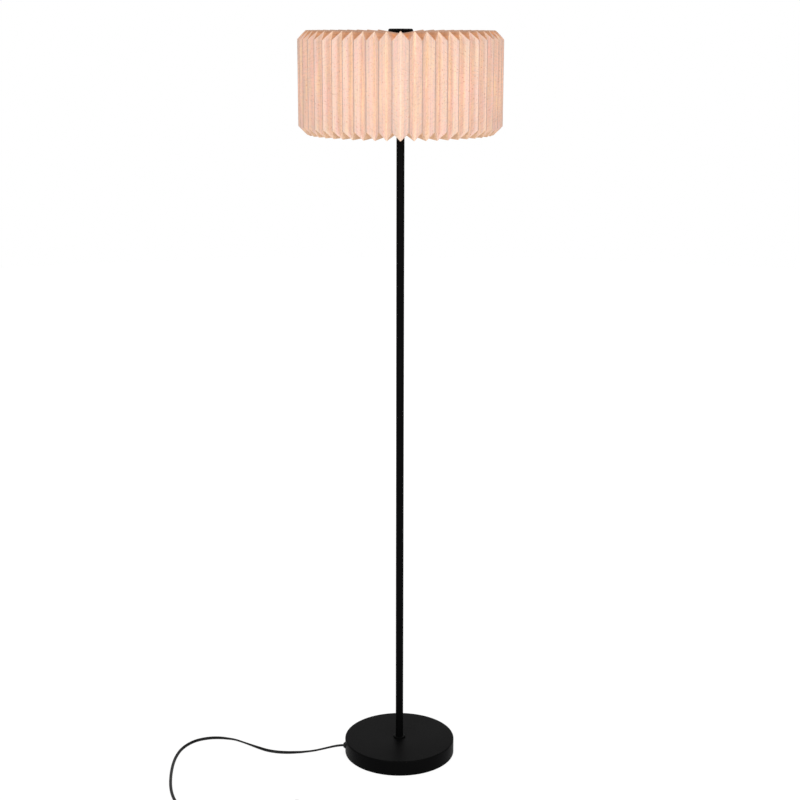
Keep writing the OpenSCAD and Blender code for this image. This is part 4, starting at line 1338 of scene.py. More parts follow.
@dataclass(frozen=True)
class PleatedShade:
    """Drum shade of one pleated sheet: short folds stand out at its side and sink into its closed ends."""

    outer_r: float = radius_of("shade_pleats")
    depth: float = 0.017
    rim: float = top_of("shade_pleats")
    foot: float = foot_of("shade_pleats")
    ridge: float = top_of("shade_hub")
    pleats: int = 50
    sheet: float = 0.0006
    gather_r: float = 0.02
    hole_r: float = 0.07
    bottom_rise: float = 0.0035
    hub_foot: float = foot_of("shade_hub")
    hub_r: float = 0.0197
    flange_r: float = radius_of("shade_hub")
    flange: float = 0.002
    bore: float = 0.0034
    neck_bore: float = 0.0065
    ring_wire: float = 0.0024
    ring_play: float = 0.0003
    bend: float = 0.0011
    crease: float = 0.05
    bow: float = 0.00035
    roof_rows: int = 16
    side_rows: int = 22
    foot_rows: int = 11
    panel_columns: int = 6
    uneven: float = math.radians(0.92)
    uneven_to: float = math.radians(32.0)

    @property
    def half_step(self) -> float:
        """Angle from one fold to the next."""
        return math.pi / self.pleats

    @property
    def inner_r(self) -> float:
        """Radius of the inner folds."""
        return self.outer_r - self.depth

    @property
    def panel(self) -> float:
        """Width of one panel, the same from end to end of the sheet."""
        inner, step = self.inner_r, self.half_step
        return math.hypot(self.outer_r - inner * math.cos(step), inner * math.sin(step))

    def fold_angles(self) -> Array:
        """Angles of the folds from the front one: the front pleat is the widest, its neighbours give way.

        A fold at the angle a lies farther out by u (1 - a / l), where u is the front pleat's extra and l
        the last angle that still gives way.

        Returns:
            The angles.
        """
        k = np.arange(2 * self.pleats)
        a = self.half_step * np.where(k > self.pleats, k - 2 * self.pleats, k)
        share = np.clip(1 - (np.abs(a) - self.half_step) / self.uneven_to, 0, 1)
        return a + np.sign(a) * self.uneven * share

    def drop(self, radius: float) -> float:
        """How far a short fold lies below a tall one where the sheet is gathered at a radius."""
        return math.sqrt(self.panel**2 - (2 * radius * math.sin(self.half_step / 2)) ** 2)

    def fold_lines(self) -> Array:
        """Corners of every fold line: at the hub, the upper corner, the lower corner and the lower hole.

        Returns:
            Array of fold lines by four corners by three coordinates.
        """
        k = np.arange(2 * self.pleats)
        short = k % 2
        run = self.outer_r * math.cos(self.half_step) - self.inner_r
        top_tilt = math.atan((self.rim - self.ridge) / (self.inner_r - self.gather_r))
        foot_tilt = math.atan(self.bottom_rise / (self.inner_r - self.hole_r))
        angle = self.fold_angles()
        step = np.diff(np.r_[angle, angle[0]]) % (2 * np.pi)
        step = (step + np.roll(step, 1)) / 2
        inner = self.outer_r * np.cos(step) - np.sqrt(self.panel**2 - (self.outer_r * np.sin(step)) ** 2)
        r = np.where(short, self.outer_r, inner)
        radius = np.stack([np.full(len(k), self.gather_r), r, r, np.full(len(k), self.hole_r)], 1)
        height = np.stack(
            [
                self.ridge - short * self.drop(self.gather_r),
                self.rim - short * run * math.tan(math.pi / 4 + top_tilt / 2),
                self.foot + short * run * math.tan(math.pi / 4 + foot_tilt / 2),
                self.foot + self.bottom_rise + short * self.drop(self.hole_r),
            ],
            1,
        )
        angle = (angle - math.pi / 2)[:, None]
        return np.stack([radius * np.cos(angle), radius * np.sin(angle), height], -1)

    def beside(self, before: Array, corner: Array, after: Array) -> list[Array]:
        """Points before and after a corner of the fold lines where its bend starts and ends."""
        ways = [end - corner for end in (before, after)]
        return [corner + way / np.linalg.norm(way, axis=-1, keepdims=True) * self.bend for way in ways]

    def lines_in_rows(self) -> tuple[Array, Array]:
        """Points along every fold line, with its two corners rounded by parabolas.

        Returns:
            Fold lines by rows by coordinates, and each row's place: 1 on the roof, 0 at the side, -1 below.
        """
        hub, top, low, hole = np.moveaxis(self.fold_lines(), 1, 0)[:, :, None]
        top_in, top_out = self.beside(hub, top, low)
        low_in, low_out = self.beside(top, low, hole)
        share = BEND_SHARES[None, :, None]
        parts = [
            (evenly(hub, top_in, self.roof_rows), np.ones(self.roof_rows)),
            (parabola(top_in, top, top_out, share), 1 - BEND_SHARES),
            (evenly(top_out, low_in, self.side_rows), np.zeros(self.side_rows)),
            (parabola(low_in, low, low_out, share), -BEND_SHARES),
            (evenly(low_out, hole, self.foot_rows), -np.ones(self.foot_rows)),
        ]
        rows, places = zip(*parts)
        return np.concatenate(rows, 1), np.concatenate(places)

    def bowing(self, count: int, rows: int) -> Array:
        """Slow wave that panels bow by, from -1 to 1: sin(2.1 k + 5 v) sin(3.7 k + 9 v + 1).

        Args:
            count: Number of panels, k.
            rows: Number of rows along a panel, whose share is v.

        Returns:
            Array of panels by rows, faded in from the hub.
        """
        k, v = np.arange(count)[:, None], np.linspace(0, 1, rows)[None]
        return np.sin(2.1 * k + 5.0 * v) * np.sin(3.7 * k + 9.0 * v + 1.0) * np.clip(6 * v, 0, 1)

    def sheet_grid(self) -> Patch:
        """The sheet's middle surface: straight panels between fold lines, each fold rounded by a parabola.

        On a panel from fold a to fold b a point is a + t (b - a); beside fold a, from the share w before it
        to the share w after it, it is the parabola with a as its corner. Each panel also bows by its wave
        times sin(pi t).

        Returns:
            The grid, its UV in metres of the flat sheet, and the values fold and ends.
        """
        lines, places = self.lines_in_rows()
        count, rows = lines.shape[:2]
        before, after = np.roll(lines, 1, 0), np.roll(lines, -1, 0)
        w = self.crease
        across = np.linspace(w, 1 - w, self.panel_columns)
        t = across[None, :, None, None]
        normal = np.cross(after - lines, np.gradient(lines, axis=1))
        normal /= np.linalg.norm(normal, axis=-1, keepdims=True)
        lift = self.bow * self.bowing(count, rows)[:, None, :, None] * np.sin(np.pi * t)
        panels = lines[:, None] + t * (after - lines)[:, None] + lift * normal[:, None]
        start, end = lines + w * (before - lines), lines + w * (after - lines)
        folds = parabola(start[:, None], lines[:, None], end[:, None], BEND_SHARES[None, :, None, None])
        grid = np.concatenate([folds, panels], 1).reshape(-1, rows, 3)
        tall = (np.arange(count) % 2 == 0)[:, None]
        near = np.array([0.25, 0.5, 0.25]) * w * 0.5
        shares = np.r_[near, across]
        fold = np.where(tall, shares, 1 - shares).ravel()
        local = np.r_[-0.5 * w, 0.0, 0.5 * w, across]
        u = ((np.arange(count)[:, None] + local) * self.panel).ravel()
        u = np.r_[u, count * self.panel + u[0]]
        uv = np.stack(np.meshgrid(u, distances(lines[0]), indexing="ij"), -1)
        fold = np.r_[fold, fold[0]]
        values = {"fold": np.repeat(fold[:, None], rows, 1), "ends": np.repeat(places[None], len(fold), 0)}
        return Patch(np.concatenate([grid, grid[:1]]), uv, values)

    def pleated_sheet(self) -> Piece:
        """The sheet, with its thickness to both sides of the middle surface.

        Returns:
            The sheet.
        """
        piece = write_mesh("pleated_sheet", [self.sheet_grid()], sharp=70, outward=False)
        wall = piece.modifiers.new("thickness", "SOLIDIFY")
        wall.thickness = self.sheet
        wall.offset = 0.0
        return piece

    def hub(self) -> Piece:
        """The hub: a turned barrel with a flange below the folds and a seat for the cap's neck.

        Returns:
            The hub.
        """
        z, r, top, edge = self.hub_foot, self.hub_r, self.ridge, self.flange_r
        neck, bore = self.neck_bore, self.bore
        floor = z + self.flange
        outside = [(bore, z), (edge, z), (edge, floor), (r, floor), (r, top)]
        inside = [(neck, top), (neck, floor), (bore, floor)]
        radii = [0.0003, 0.0006, 0.0006, 0.0005, 0.0006, 0.0006, 0.0003, 0.0003]
        return write_mesh("gather_hub", [turned(softened(outside + inside, radii), 96)])

    def ring(self) -> Piece:
        """The wire ring in the lower hole: a circle turned round the lamp.

        Returns:
            The ring.
        """
        middle = self.hole_r - self.ring_play - self.ring_wire / 2
        z = self.foot + self.bottom_rise + self.drop(self.hole_r) / 2
        wire = circle_outline(self.ring_wire / 2) + np.array([middle, z])
        return write_mesh("foot_ring", [turned(wire, 160)])

    def build(self, dresser: Dresser) -> None:
        """Builds and dresses the shade.

        Args:
            dresser: Gives the finishes.
        """
        sheet, _, _ = dresser.dress_all(
            "shade",
            [
                (self.pleated_sheet(), Slot.LINEN, "shade_pleats"),
                (self.hub(), Slot.PLASTIC, "shade_hub"),
                (self.ring(), Slot.STEEL, "hem_ring"),
            ],
        )


@dataclass(frozen=True)
class Cap:
    """Round cap with a bevelled edge, a dished underside and a hollow neck."""

    foot: float = top_of("shade_hub") + SEAT_GAP
    top: float = top_of("cap_disc")
    radius: float = radius_of("cap_disc")
    lip: float = 0.0027
    neck_radius: float = 0.0062
    neck_foot: float = foot_of("cap_disc")
    bore: float = 0.00425
    crown: float = 0.001

    def disc(self) -> Piece:
        """The disc and its neck, turned from one outline.

        Returns:
            The cap.
        """
        r, z, top = self.radius, self.foot, self.top
        neck, low, bore = self.neck_radius, self.neck_foot, self.bore
        lip, crown = z + self.lip, z - self.crown
        plate = [(0.0, top), (r - 0.0024, top), (r - 0.0005, top - 0.0016)]
        plate += [(r, lip + 0.0006), (r, lip), (0.58 * r, z)]
        stem = [(neck, z), (neck, low), (bore, low), (bore, crown), (0.0, crown)]
        radii = [0.0, 0.0012, 0.0008, 0.0003, 0.0003, 0.003, 0.0004, 0.0004, CRISP, CRISP, 0.0]
        outline = softened(plate + stem, radii, closed=False, steps=6)
        return write_mesh("cap_knob", [turned(outline, 128)])

    def build(self, dresser: Dresser) -> None:
        """Builds and dresses the cap."""
        dresser.dress_all("cap", [(self.disc(), Slot.POWDER, "cap_disc")])
        dresser.dress_nodes(Slot.BRASS, "cap_insert")


@dataclass(frozen=True)
class FlatLead:
    """Flat twin lead: over the floor to the foot switch, then to a tied coil and the plug."""

    width: float = 0.0063
    thickness: float = 0.0038
    steps: int = 6
    run_points: tuple[Point, ...] = (
        (-0.12083, -0.00633, 0.015), (-0.128, -0.0067, 0.0148), (-0.139, -0.0073, 0.0134),
        (-0.152, -0.0078, 0.0106), (-0.166, -0.0082, 0.0072), (-0.181, -0.0088, 0.004),
        (-0.198, -0.0105, 0.0022), (-0.218, -0.014, 0.0019), (-0.24, -0.0165, 0.0019),
        (-0.262, -0.0148, 0.0019), (-0.284, -0.008, 0.0019), (-0.304, 0.004, 0.0019),
        (-0.322, 0.017, 0.0019), (-0.34, 0.0305, 0.0019), (-0.36, 0.044, 0.0019),
        (-0.38, 0.051, 0.0019), (-0.402, 0.0525, 0.0019), (-0.424, 0.0485, 0.0019),
        (-0.445, 0.0375, 0.0019), (-0.461, 0.019, 0.0019), (-0.472, -0.005, 0.0019),
        (-0.478, -0.034, 0.0019), (-0.48, -0.066, 0.0019), (-0.479, -0.1, 0.0019),
        (-0.476, -0.134, 0.0019), (-0.471, -0.168, 0.0019), (-0.463, -0.201, 0.0019),
        (-0.451, -0.232, 0.0019), (-0.434, -0.257, 0.0019), (-0.414, -0.273, 0.0024),
        (-0.401, -0.279, 0.0046), (-0.395, -0.282, 0.007), (-0.391, -0.282, 0.007),
        (-0.389, -0.282, 0.007),
    )
    twist: tuple[Corner, ...] = (
        (0.0, 0.0), (0.02, 6.0), (0.045, 18.0), (0.08, 18.0), (0.1035, -20.0), (0.13, -50.0), (0.16, -66.0),
        (0.185, -85.0), (0.2, -112.0), (0.225, -140.0), (0.25, -153.0), (0.27, -165.0), (0.295, -215.0),
        (0.32, -240.0), (0.36, -240.0), (0.5, -190.0), (0.6, -180.0), (0.716, -180.0),
    )
    inner_ways: tuple[Corner, ...] = (
        (0.121, 0.015), (0.0915, 0.015), (0.081, 0.0138), (0.067, 0.0108), (0.051, 0.0082), (0.034, 0.007),
        (0.012, 0.007), (0.006, 0.0086), (0.0016, 0.013), (0.0, 0.019), (0.0, 0.0365), (0.0, 1.3382),
    )
    inner_side: float = 183.0
    coil_x: float = -0.206
    coil_y: float = -0.284
    coil_radius: float = 0.031
    turns: int = 3
    gap: float = 0.0006
    rings: int = 48
    tie: float = 0.0005
    tie_width: float = 0.008
    tie_play: float = 0.0006

    @property
    def pitch(self) -> float:
        """Distance between neighbouring turns."""
        return self.thickness + self.gap

    @property
    def low(self) -> float:
        """Height of the lower layer's centre line."""
        return self.tie + SEAT_GAP + self.width / 2

    @property
    def high(self) -> float:
        """Height of the upper layer's centre line."""
        return self.low + self.width + self.gap

    @property
    def inner(self) -> float:
        """Radius of the innermost turn."""
        return self.coil_radius - self.pitch * self.turns / 2

    @property
    def outer(self) -> float:
        """Radius of the outermost turn."""
        return self.coil_radius + self.pitch * self.turns / 2

    def tube(self, name: str, path: Array, side: Array | None = None, roll: Array | float = 0.0) -> Piece:
        """A length of the lead along a path."""
        return write_mesh(name, [swept(path, flat_outline(self.width, self.thickness), side, roll)])

    def run(self) -> tuple[Array, Array]:
        """Centre line to the foot switch, raised so that the twisted lead never sinks into the floor.

        Returns:
            The path and the turn of the lead about it, in radians.
        """
        path = smooth_path(list(self.run_points), self.steps)
        knots, turns = np.array(self.twist).T
        roll = np.radians(np.interp(distances(path), knots, turns))
        roll = np.convolve(np.pad(roll, 4, mode="edge"), np.ones(9) / 9, mode="valid")
        reach = self.thickness / 2 + (self.width - self.thickness) / 2 * np.abs(np.sin(roll))
        path[:, 2] = np.maximum(path[:, 2], reach)
        return path, roll

    def coil(self) -> Array:
        """Centre line of the coil: in on the lower layer, out on the upper, climbing where it turns back.

        After n turns the radius is r + pitch |n - turns|, and the climb is the smooth step 3 t^2 - 2 t^3
        over half a turn.

        Returns:
            Points of the centre line.
        """
        n = np.linspace(0, 2 * self.turns, 2 * self.turns * self.rings + 1)
        r = self.inner + self.pitch * np.abs(n - self.turns)
        climb = np.clip((n - self.turns + 0.25) / 0.5, 0, 1)
        z = self.low + (self.high - self.low) * climb**2 * (3 - 2 * climb)
        angle = 2 * np.pi * n
        return np.stack([self.coil_x + r * np.sin(angle), self.coil_y - r * np.cos(angle), z], 1)

    def rest(self, switch_end: Point, plug_end: Point) -> tuple[Array, Array]:
        """Centre line from the foot switch through the coil to the plug.

        Args:
            switch_end: End of the foot switch's strain relief.
            plug_end: End of the plug's strain relief.

        Returns:
            The path and the turn of the lead about it, in radians.
        """
        edge, w, cx = self.coil_y - self.outer, self.width, self.coil_x
        x, y, z = switch_end
        link = [
            switch_end, (x + 0.002, y, z), (x + 0.006, y, z), (-0.264, -0.2875, 0.0056),
            (-0.251, -0.299, 0.0043), (-0.239, -0.311, 0.004), (-0.227, edge + 0.002, self.low),
            (cx - w - 0.004, edge, self.low),
            (cx - w - 0.002, edge, self.low), (cx - w, edge, self.low),
        ]
        px, py, pz = plug_end
        tail = [
            (cx + w, edge, self.high), (cx + w + 0.003, edge, self.high), (cx + 0.017, edge, 0.01),
            (px - 0.015, py, 0.008), (px - 0.006, py, pz), (px - 0.002, py, pz), plug_end,
        ]
        first, middle, last = smooth_path(link, self.steps), self.coil(), smooth_path(tail, self.steps)
        upright = math.pi / 2
        rise, fall = np.linspace(0, upright, len(first)), np.linspace(upright, 0, len(last))
        return np.vstack([first, middle, last]), np.r_[rise, np.full(len(middle), upright), fall]

    def band(self) -> Piece:
        """The tie: a thin band round the coil's turns, along a rounded rectangle, with a short loose end.

        Returns:
            The tie.
        """
        w = (self.outer - self.inner + self.thickness + self.tie_play) / 2
        h = self.high - self.low + self.width + self.tie_play
        t, across = self.tie, self.tie_width / 2
        loop = softened([(-w, 0), (-w, h), (w, h), (w, 0)], [0.0015] * 4, steps=6)
        loop = np.vstack([loop, loop[1:8] + np.array([-t * 0.2, t * 0.2])])
        y = self.coil_y + (self.inner + self.outer) / 2
        path = np.stack([np.full(len(loop), self.coil_x), y + loop[:, 0], t / 2 + 0.00005 + loop[:, 1]], 1)
        corners = [(-across, -t / 2), (across, -t / 2), (across, t / 2), (-across, t / 2)]
        section = softened(corners, [t * 0.3] * 4, steps=3)
        return write_mesh("coil_tie", [swept(path, section, side=np.array([1.0, 0.0, 0.0]))])

    def inside(self) -> Piece:
        """The held lead from the grommet to the terminals, along the base and up the pole.

        Returns:
            The lead.
        """
        side = math.radians(self.inner_side)
        path = np.array([(r * math.cos(side), r * math.sin(side), z) for r, z in self.inner_ways])
        return self.tube("held_lead", path, side=np.array([-math.sin(side), math.cos(side), 0.0]))

    def build(self, dresser: Dresser, fittings: "Fittings") -> None:
        """Args:
            dresser: Gives the finishes.
            fittings: The foot switch and the plug on the lead.
        """
        switch_pieces, plug_pieces = fittings.build(dresser)
        path, roll = self.run()
        first = self.tube("lead_to_switch", path, roll=roll)
        dresser.dress(first, Slot.FLEX, nodes=("cord_run",))
        path, roll = self.rest(fittings.switch_out, fittings.plug_in)
        second = self.tube("lead_to_plug", path, roll=roll)
        dresser.dress(second, Slot.FLEX, nodes=("cord_link", "cord_coil", "cord_tail"))
        tie = dresser.dress(self.band(), Slot.PLASTIC, nodes=("cord_tie",))
        dresser.dress(self.inside(), Slot.FLEX, nodes=("inner_lead",))


@dataclass(frozen=True)
class Fittings:
    """Foot switch and plug on the lead, both lying along X."""

    switch_x: float = -0.334
    switch_y: float = -0.282
    lead_z: float = 0.007
    length: float = 0.066
    width: float = 0.03
    height: float = top_of("switch_cover")
    split: float = top_of("switch_base")
    wall: float = 0.002
    edge: float = 0.004
    joint: float = 0.0006
    button_r: float = 0.01
    button_top: float = top_of("switch_button")
    press: float = 0.003
    skirt_gap: float = 0.0003
    skirt: float = 0.0016
    spring_r: float = 0.005
    spring_wire: float = 0.0004
    spring_turns: int = 4
    relief: float = 0.022
    relief_r0: float = 0.0052
    relief_r1: float = 0.0034
    relief_pitch: float = 0.00275
    plug_x: float = -0.138
    plug_y: float = -0.3216
    plug_length: float = 0.036
    plug_width: float = 0.026
    plug_height: float = top_of("plug_body")
    grip_pitch: float = 0.0028
    grip_depth: float = 0.0005
    corner: float = 0.42
    pin_length: float = 0.019
    pin_r: float = 0.002
    pin_space: float = 0.0186

    @property
    def switch_out(self) -> Point:
        """End of the strain relief on the plug's side of the switch."""
        return (self.switch_x + self.length / 2 + self.relief, self.switch_y, self.lead_z)

    @property
    def plug_place(self) -> Point:
        """Middle of the plug's end on the lead's side."""
        return (self.plug_x, self.plug_y, self.plug_height / 2)

    @property
    def plug_in(self) -> Point:
        """End of the plug's strain relief."""
        return (self.plug_x - self.relief, self.plug_y, self.plug_height / 2)

    @property
    def skirt_top(self) -> float:
        """Height of the button's skirt, just under the cover's wall."""
        return self.height - self.wall - self.skirt_gap

    def oval(self, inset: float) -> Array:
        """Outline of the switch housing, drawn in by an inset."""
        return long_oval(self.length, self.width, inset) + np.array([self.switch_x, self.switch_y])

    def disc(self, radius: float) -> Array:
        """Circle round the button with as many points as the housing's outline."""
        return long_oval(2 * radius, 2 * radius, 0.0) + np.array([self.switch_x, self.switch_y])

    def cover(self) -> Piece:
        """The upper housing: ovals lofted over its rounded edge to the button's hole, and back inside.

        Returns:
            The upper housing.
        """
        edge, top, wall, ring = self.edge, self.height, self.wall, self.button_r + self.skirt_gap
        inside = top - wall
        rows = [(self.oval(self.joint), self.split), (self.oval(0.0), self.split + self.joint)]
        arc = np.linspace(0, math.pi / 2, 8)
        rows += [(self.oval(edge * (1 - math.cos(a))), top - edge * (1 - math.sin(a))) for a in arc]
        well = [(0.0022, 0.0), (0.0016, 0.0006), (0.0002, 0.0006), (0.0, 0.0008), (0.0, wall)]
        rows += [(self.disc(ring + out), top - down) for out, down in well]
        within = [(0.002, inside), (0.0, inside - 0.002), (0.0, self.split)]
        rows += [(self.oval(wall + inset), z) for inset, z in within]
        return write_mesh("switch_top", [lofted(rows + rows[:1])], sharp=35)

    def tray(self) -> Piece:
        """The lower housing: an oval tray with a stepped joint line and a soft foot edge.

        Returns:
            The lower housing.
        """
        lip = self.split - 0.0001
        steps = [
            (0.013, 0.0), (0.0016, 0.0), (0.0005, 0.0004), (0.0, 0.0015), (0.0, self.split - self.joint),
            (self.joint, lip), (self.wall, lip), (self.wall, self.wall), (0.013, self.wall), (0.013, 0.0),
        ]
        return write_mesh("switch_tray", [lofted([(self.oval(inset), z) for inset, z in steps])], sharp=35)

    def button(self) -> Piece:
        """The button: a turned cup with a shallow dish and fine ring grips on its face.

        Returns:
            The button.
        """
        r, top, skirt, face_r = self.button_r, self.button_top, self.skirt_top, self.button_r - 0.0018
        low, out, brim = skirt - self.skirt, r + 0.0014, top - 0.0001
        face = np.linspace(0, face_r, 30)
        grips = 0.00015 * (1 - np.cos(face * 3500)) / 2
        dish = top - 0.0004 - 0.0003 * np.cos(face / face_r * np.pi) - grips
        corners = [(face_r, brim), (r, brim), (r, skirt), (out, skirt), (out, low), (0.0, low)]
        rim = softened(corners, [0.0, 0.0012, 0.0, 0.0003, CRISP, 0.0], closed=False)
        disc = turned(np.vstack([np.column_stack([face, dish]), rim]), 72)
        return write_mesh("foot_button", [disc.placed(np.eye(3), (self.switch_x, self.switch_y, 0.0))])

    def spring(self) -> Piece:
        """The return spring: round wire along a helix, (r cos a, r sin a, z0 + (z1 - z0) a / a1).

        Returns:
            The spring.
        """
        a = np.linspace(0, 2 * self.spring_turns * np.pi, 161)
        wire, r = self.spring_wire, self.spring_r
        z0, z1 = self.split + wire + 0.0001, self.skirt_top - self.skirt - wire - 0.0001
        x, y = self.switch_x + r * np.cos(a), self.switch_y + r * np.sin(a)
        path = np.stack([x, y, z0 + (z1 - z0) * a / a[-1]], 1)
        return write_mesh("return_spring", [swept(path, circle_outline(wire, 8))])

    def sleeves(self, name: str, ends: list[tuple[Point, float]]) -> Piece:
        """Strain reliefs: tapered sleeves along X whose rings come from a wave of the radius.

        Args:
            name: Name of the piece.
            ends: Thick end of each sleeve and the way along X that it points.

        Returns:
            The sleeves.
        """
        x = np.linspace(0, self.relief, 90)
        taper = self.relief_r0 + (self.relief_r1 - self.relief_r0) * x / self.relief
        ringed = np.clip(x - 0.003, 0, 6 * self.relief_pitch)
        rings = 0.00035 * (1 - np.cos(2 * np.pi * ringed / self.relief_pitch))
        mouth = [(self.relief_r1 - 0.0006, self.relief), (0.0, self.relief)]
        outline = np.vstack([[(0.0, 0.0)], np.column_stack([taper - rings, x]), mouth])
        sleeve = turned(outline, 40)
        return write_mesh(name, [sleeve.placed(self.along_x(way), place) for place, way in ends])

    def along_x(self, way: float = 1.0) -> Array:
        """Turn that lays a turned shape's axis along X, or against it."""
        return np.array([[0.0, 0.0, way], [0.0, way, 0.0], [-1.0, 0.0, 0.0]])

    def plug(self) -> Piece:
        """The plug's body: rounded rectangles lofted along X, with finger grips as a wave of their width.

        A rectangle's point at the angle a is (w |cos a|^c, h |sin a|^c) with the cosine's and sine's signs.

        Returns:
            The plug's body.
        """
        share = np.r_[np.linspace(0, 0.8, 60), np.linspace(0.815, 0.985, 10), 0.995, 1.0]
        x = share * self.plug_length
        marks, shares = [0, 0.2, 0.5, 0.78, 0.86, 0.985, 1.0], [0.5, 0.72, 0.8, 0.97, 1.0, 1.0, 0.965]
        widths = np.interp(share, marks, shares)
        heights = np.interp(share, [0, 0.3, 0.985, 1.0], [0.82, 1.0, 1.0, 0.93])
        on_grip = np.clip(np.minimum(share - 0.22, 0.7 - share) * 14, 0, 1)
        grips = self.grip_depth * on_grip * (1 - np.cos(2 * np.pi * x / self.grip_pitch)) / 2
        half, thick = widths * self.plug_width / 2 - grips, heights * self.plug_height / 2
        a = np.linspace(0, 2 * np.pi, 65)
        square = [np.sign(f(a)) * np.abs(f(a)) ** self.corner for f in (np.cos, np.sin)]
        y, z = half[:, None] * square[0], thick[:, None] * square[1]
        rings = np.stack([np.repeat(x[:, None], 65, 1), y, z], -1) + np.array(self.plug_place)
        ends = [np.repeat(rings[i].mean(0)[None, None], 65, 1) for i in (0, -1)]
        return write_mesh("plug_housing", [Patch(np.concatenate([ends[0], rings, ends[1]]))], sharp=50)

    def pins(self, name: str, outline: Array) -> Piece:
        """Two turned shapes along X, one on each side of the plug's middle.

        Args:
            name: Name of the piece.
            outline: Points of radius and distance from the plug's face.

        Returns:
            The two shapes.
        """
        x, y, z = self.plug_place
        places = [(x + self.plug_length, y + side * self.pin_space / 2, z) for side in (-1, 1)]
        return write_mesh(name, [turned(outline, 40).placed(self.along_x(), place) for place in places])

    def switch(self, dresser: Dresser) -> list[Piece]:
        """Builds and dresses the foot switch.

        Args:
            dresser: Gives the finishes.

        Returns:
            Its pieces.
        """
        spring = dresser.dress(self.spring(), Slot.STEEL, nodes=("switch_spring",))
        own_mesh(spring)
        half, y, z = self.length / 2, self.switch_y, self.lead_z
        ends = [((self.switch_x + way * half, y, z), way) for way in (1.0, -1.0)]
        shells = dresser.dress_all(
            "root", [(self.tray(), Slot.GLOSS, "switch_base"), (self.cover(), Slot.GLOSS, "switch_cover")]
        )
        button = dresser.dress(self.button(), Slot.PLASTIC, "button", ("switch_button",))
        reliefs = dresser.dress(self.sleeves("switch_sleeves", ends), Slot.FLEX, nodes=("switch_reliefs",))
        block = dresser.dress_nodes(Slot.CERAMIC, "switch_block")
        screws = dresser.dress_nodes(Slot.STEEL, "switch_screws")
        return [*shells, button, reliefs, spring, *block, *screws]

    def build(self, dresser: Dresser) -> tuple[list[Piece], list[Piece]]:
        """Builds and dresses the switch and the plug.

        Args:
            dresser: Gives the finishes.

        Returns:
            The switch's pieces and the plug's pieces.
        """
        switch = self.switch(dresser)
        r, l, half = self.pin_r, self.pin_length, self.pin_length / 2
        corners = [(0.0, 0.0), (r - 0.0004, 0.0), (r - 0.0004, half), (r, half), (r, l), (0.0, l)]
        metal = softened(corners, [0.0, 0.0, 0.0, 0.0, 0.0012, 0.0], closed=False)
        corners = [(0.0, 0.0), (r - 0.0001, 0.0), (r - 0.0001, half), (0.0, half)]
        cuff = softened(corners, [0.0, 0.0001, CRISP, 0.0], closed=False)
        plug = dresser.dress_all(
            "root",
            [
                (self.plug(), Slot.GLOSS, "plug_body"),
                (self.sleeves("plug_sleeve", [(self.plug_place, -1.0)]), Slot.FLEX, "plug_relief"),
                (self.pins("metal_pins", metal), Slot.NICKEL, "plug_pins"),
            ],
        )
        return switch, [*plug, dresser.dress(self.pins("pin_cuffs", cuff), Slot.PLASTIC)]


# The studio


@dataclass(frozen=True)
class Viewpoint:
    """The photograph's viewpoint, found by fitting a pinhole camera to the lamp's edges."""

    distance: float = 3.0546
    height: float = 1.5432
    pitch: float = 13.99
    roll: float = 0.105
    lens: float = 69.3
    sensor: float = 36.0

    def build(self) -> None:
        """Makes the camera and sets it as the scene's."""
        data = bpy.data.cameras.new("viewpoint")
        data.lens = self.lens
        data.sensor_width = self.sensor
        data.dof.use_dof = False
        camera = bpy.data.objects.new("viewpoint", data)
        tilt = Matrix.Rotation(math.radians(90 - self.pitch), 4, "X")
        roll = Matrix.Rotation(math.radians(self.roll), 4, "Z")
        camera.matrix_world = Matrix.Translation((0.0, -self.distance, self.height)) @ tilt @ roll
        bpy.context.scene.collection.objects.link(camera)
        bpy.context.scene.camera = camera


@dataclass(frozen=True)
class Softbox:
    """A square white area lamp aimed at a point of the object."""

    name: str
    place: Point
    aim: Point
    size: float
    power: float

    def build(self) -> None:
        """Makes the lamp."""
        data = bpy.data.lights.new(self.name, "AREA")
        data.shape = "SQUARE"
        data.size = self.size
        data.energy = self.power
        lamp = bpy.data.objects.new(self.name, data)
        lamp.location = self.place
        way = Vector(self.aim) - Vector(self.place)
        lamp.rotation_euler = way.to_track_quat("-Z", "Y").to_euler()
        bpy.context.scene.collection.objects.link(lamp)


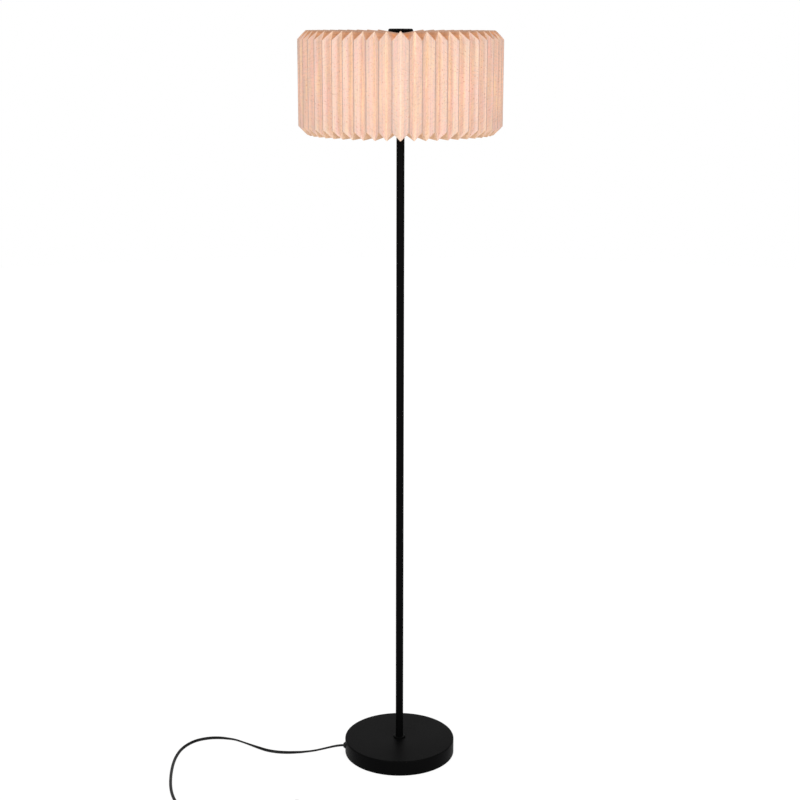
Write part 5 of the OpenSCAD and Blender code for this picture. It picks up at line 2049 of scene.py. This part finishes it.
@dataclass(frozen=True)
class Studio:
    """Plain pale floor, soft lamps and a white background."""

    ambient: float = 0.25
    floor_size: float = 14.0
    floor_lift: float = 0.9
    floor_shade: float = 0.24
    floor_bounce: float = 0.7
    lamps: tuple[Softbox, ...] = (
        Softbox("left", (-1.65, -3.1, 1.5), (0.0, 0.0, 1.3), 1.0, 46.0),
        Softbox("right", (1.65, -3.1, 1.5), (0.0, 0.0, 1.3), 1.0, 46.0),
        Softbox("back", (0.4, 2.2, 3.0), (0.0, 0.0, 0.9), 1.4, 26.0),
    )

    def seen(self, net: Net) -> Socket:
        """Marks rays that come straight from the camera, a glossy surface or glass.

        Args:
            net: Net of the material or the world.

        Returns:
            1 for those rays and 0 for others.
        """
        path = net.add("LightPath").outputs
        seen = net.math("ADD", path["Is Camera Ray"], path["Is Glossy Ray"], clamp=True)
        return net.math("ADD", seen, path["Is Transmission Ray"], clamp=True)

    def world(self) -> None:
        """Makes a world that is white where it is seen, and a softer light on the object."""
        world = bpy.data.worlds.new("studio")
        world.use_nodes = True
        net = Net(world.node_tree)
        strength = net.span(self.seen(net), 0.0, 1.0, self.ambient, 1.0)
        light = net.add("Background", {"Color": (*WHITE, 1.0), "Strength": strength})
        net.add("OutputWorld", {"Surface": light.outputs[0]})
        bpy.context.scene.world = world

    def floor(self) -> None:
        """Makes a round pale floor, lifted to white where it is seen, with a shadow only near the lamp.

        From below it isn't seen at all, so the lamp's underside shows.
        """
        outline = np.column_stack([np.linspace(0, self.floor_size / 2, 12), np.zeros(12)])
        floor = write_mesh("floor", [turned(outline, 96)], outward=False)
        material, net = new_material("floor")
        greys = [(grey, grey, grey, 1.0) for grey in (self.floor_bounce, self.floor_shade)]
        bounce, shade = [net.add("BsdfDiffuse", {"Color": grey}).outputs[0] for grey in greys]
        strength = net.span(net.length(net.place()), 0.7, 2.2, self.floor_lift, 1.0)
        lift = net.add("Emission", {"Color": (*WHITE, 1.0), "Strength": strength})
        shown = net.add("AddShader", {0: shade, 1: lift.outputs[0]})
        above = net.add("MixShader", {0: self.seen(net), 1: bounce, 2: shown.outputs[0]})
        below = net.add("BsdfTransparent")
        side = net.add("NewGeometry").outputs["Backfacing"]
        both = net.add("MixShader", {0: side, 1: above.outputs[0], 2: below.outputs[0]})
        net.add("OutputMaterial", {"Surface": both.outputs[0]})
        floor.data.materials.append(material)

    def build(self) -> None:
        """Builds the studio."""
        bpy.context.scene.view_settings.view_transform = "Standard"
        self.world()
        self.floor()
        for lamp in self.lamps:
            lamp.build()


def main() -> None:
    logging.basicConfig(level=logging.INFO, format="%(name)s: %(message)s")
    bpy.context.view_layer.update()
    Viewpoint().build()
    dresser = Dresser()
    FlatLead().build(dresser, Fittings())
    for part in (PleatedShade(), Cap(), WeightedBase(), Pole(), Lampholder(), Bulb(), Harp()):
        log.info("building %s", type(part).__name__)
        part.build(dresser)
    Studio().build()


if __name__ == "__main__":
    main()
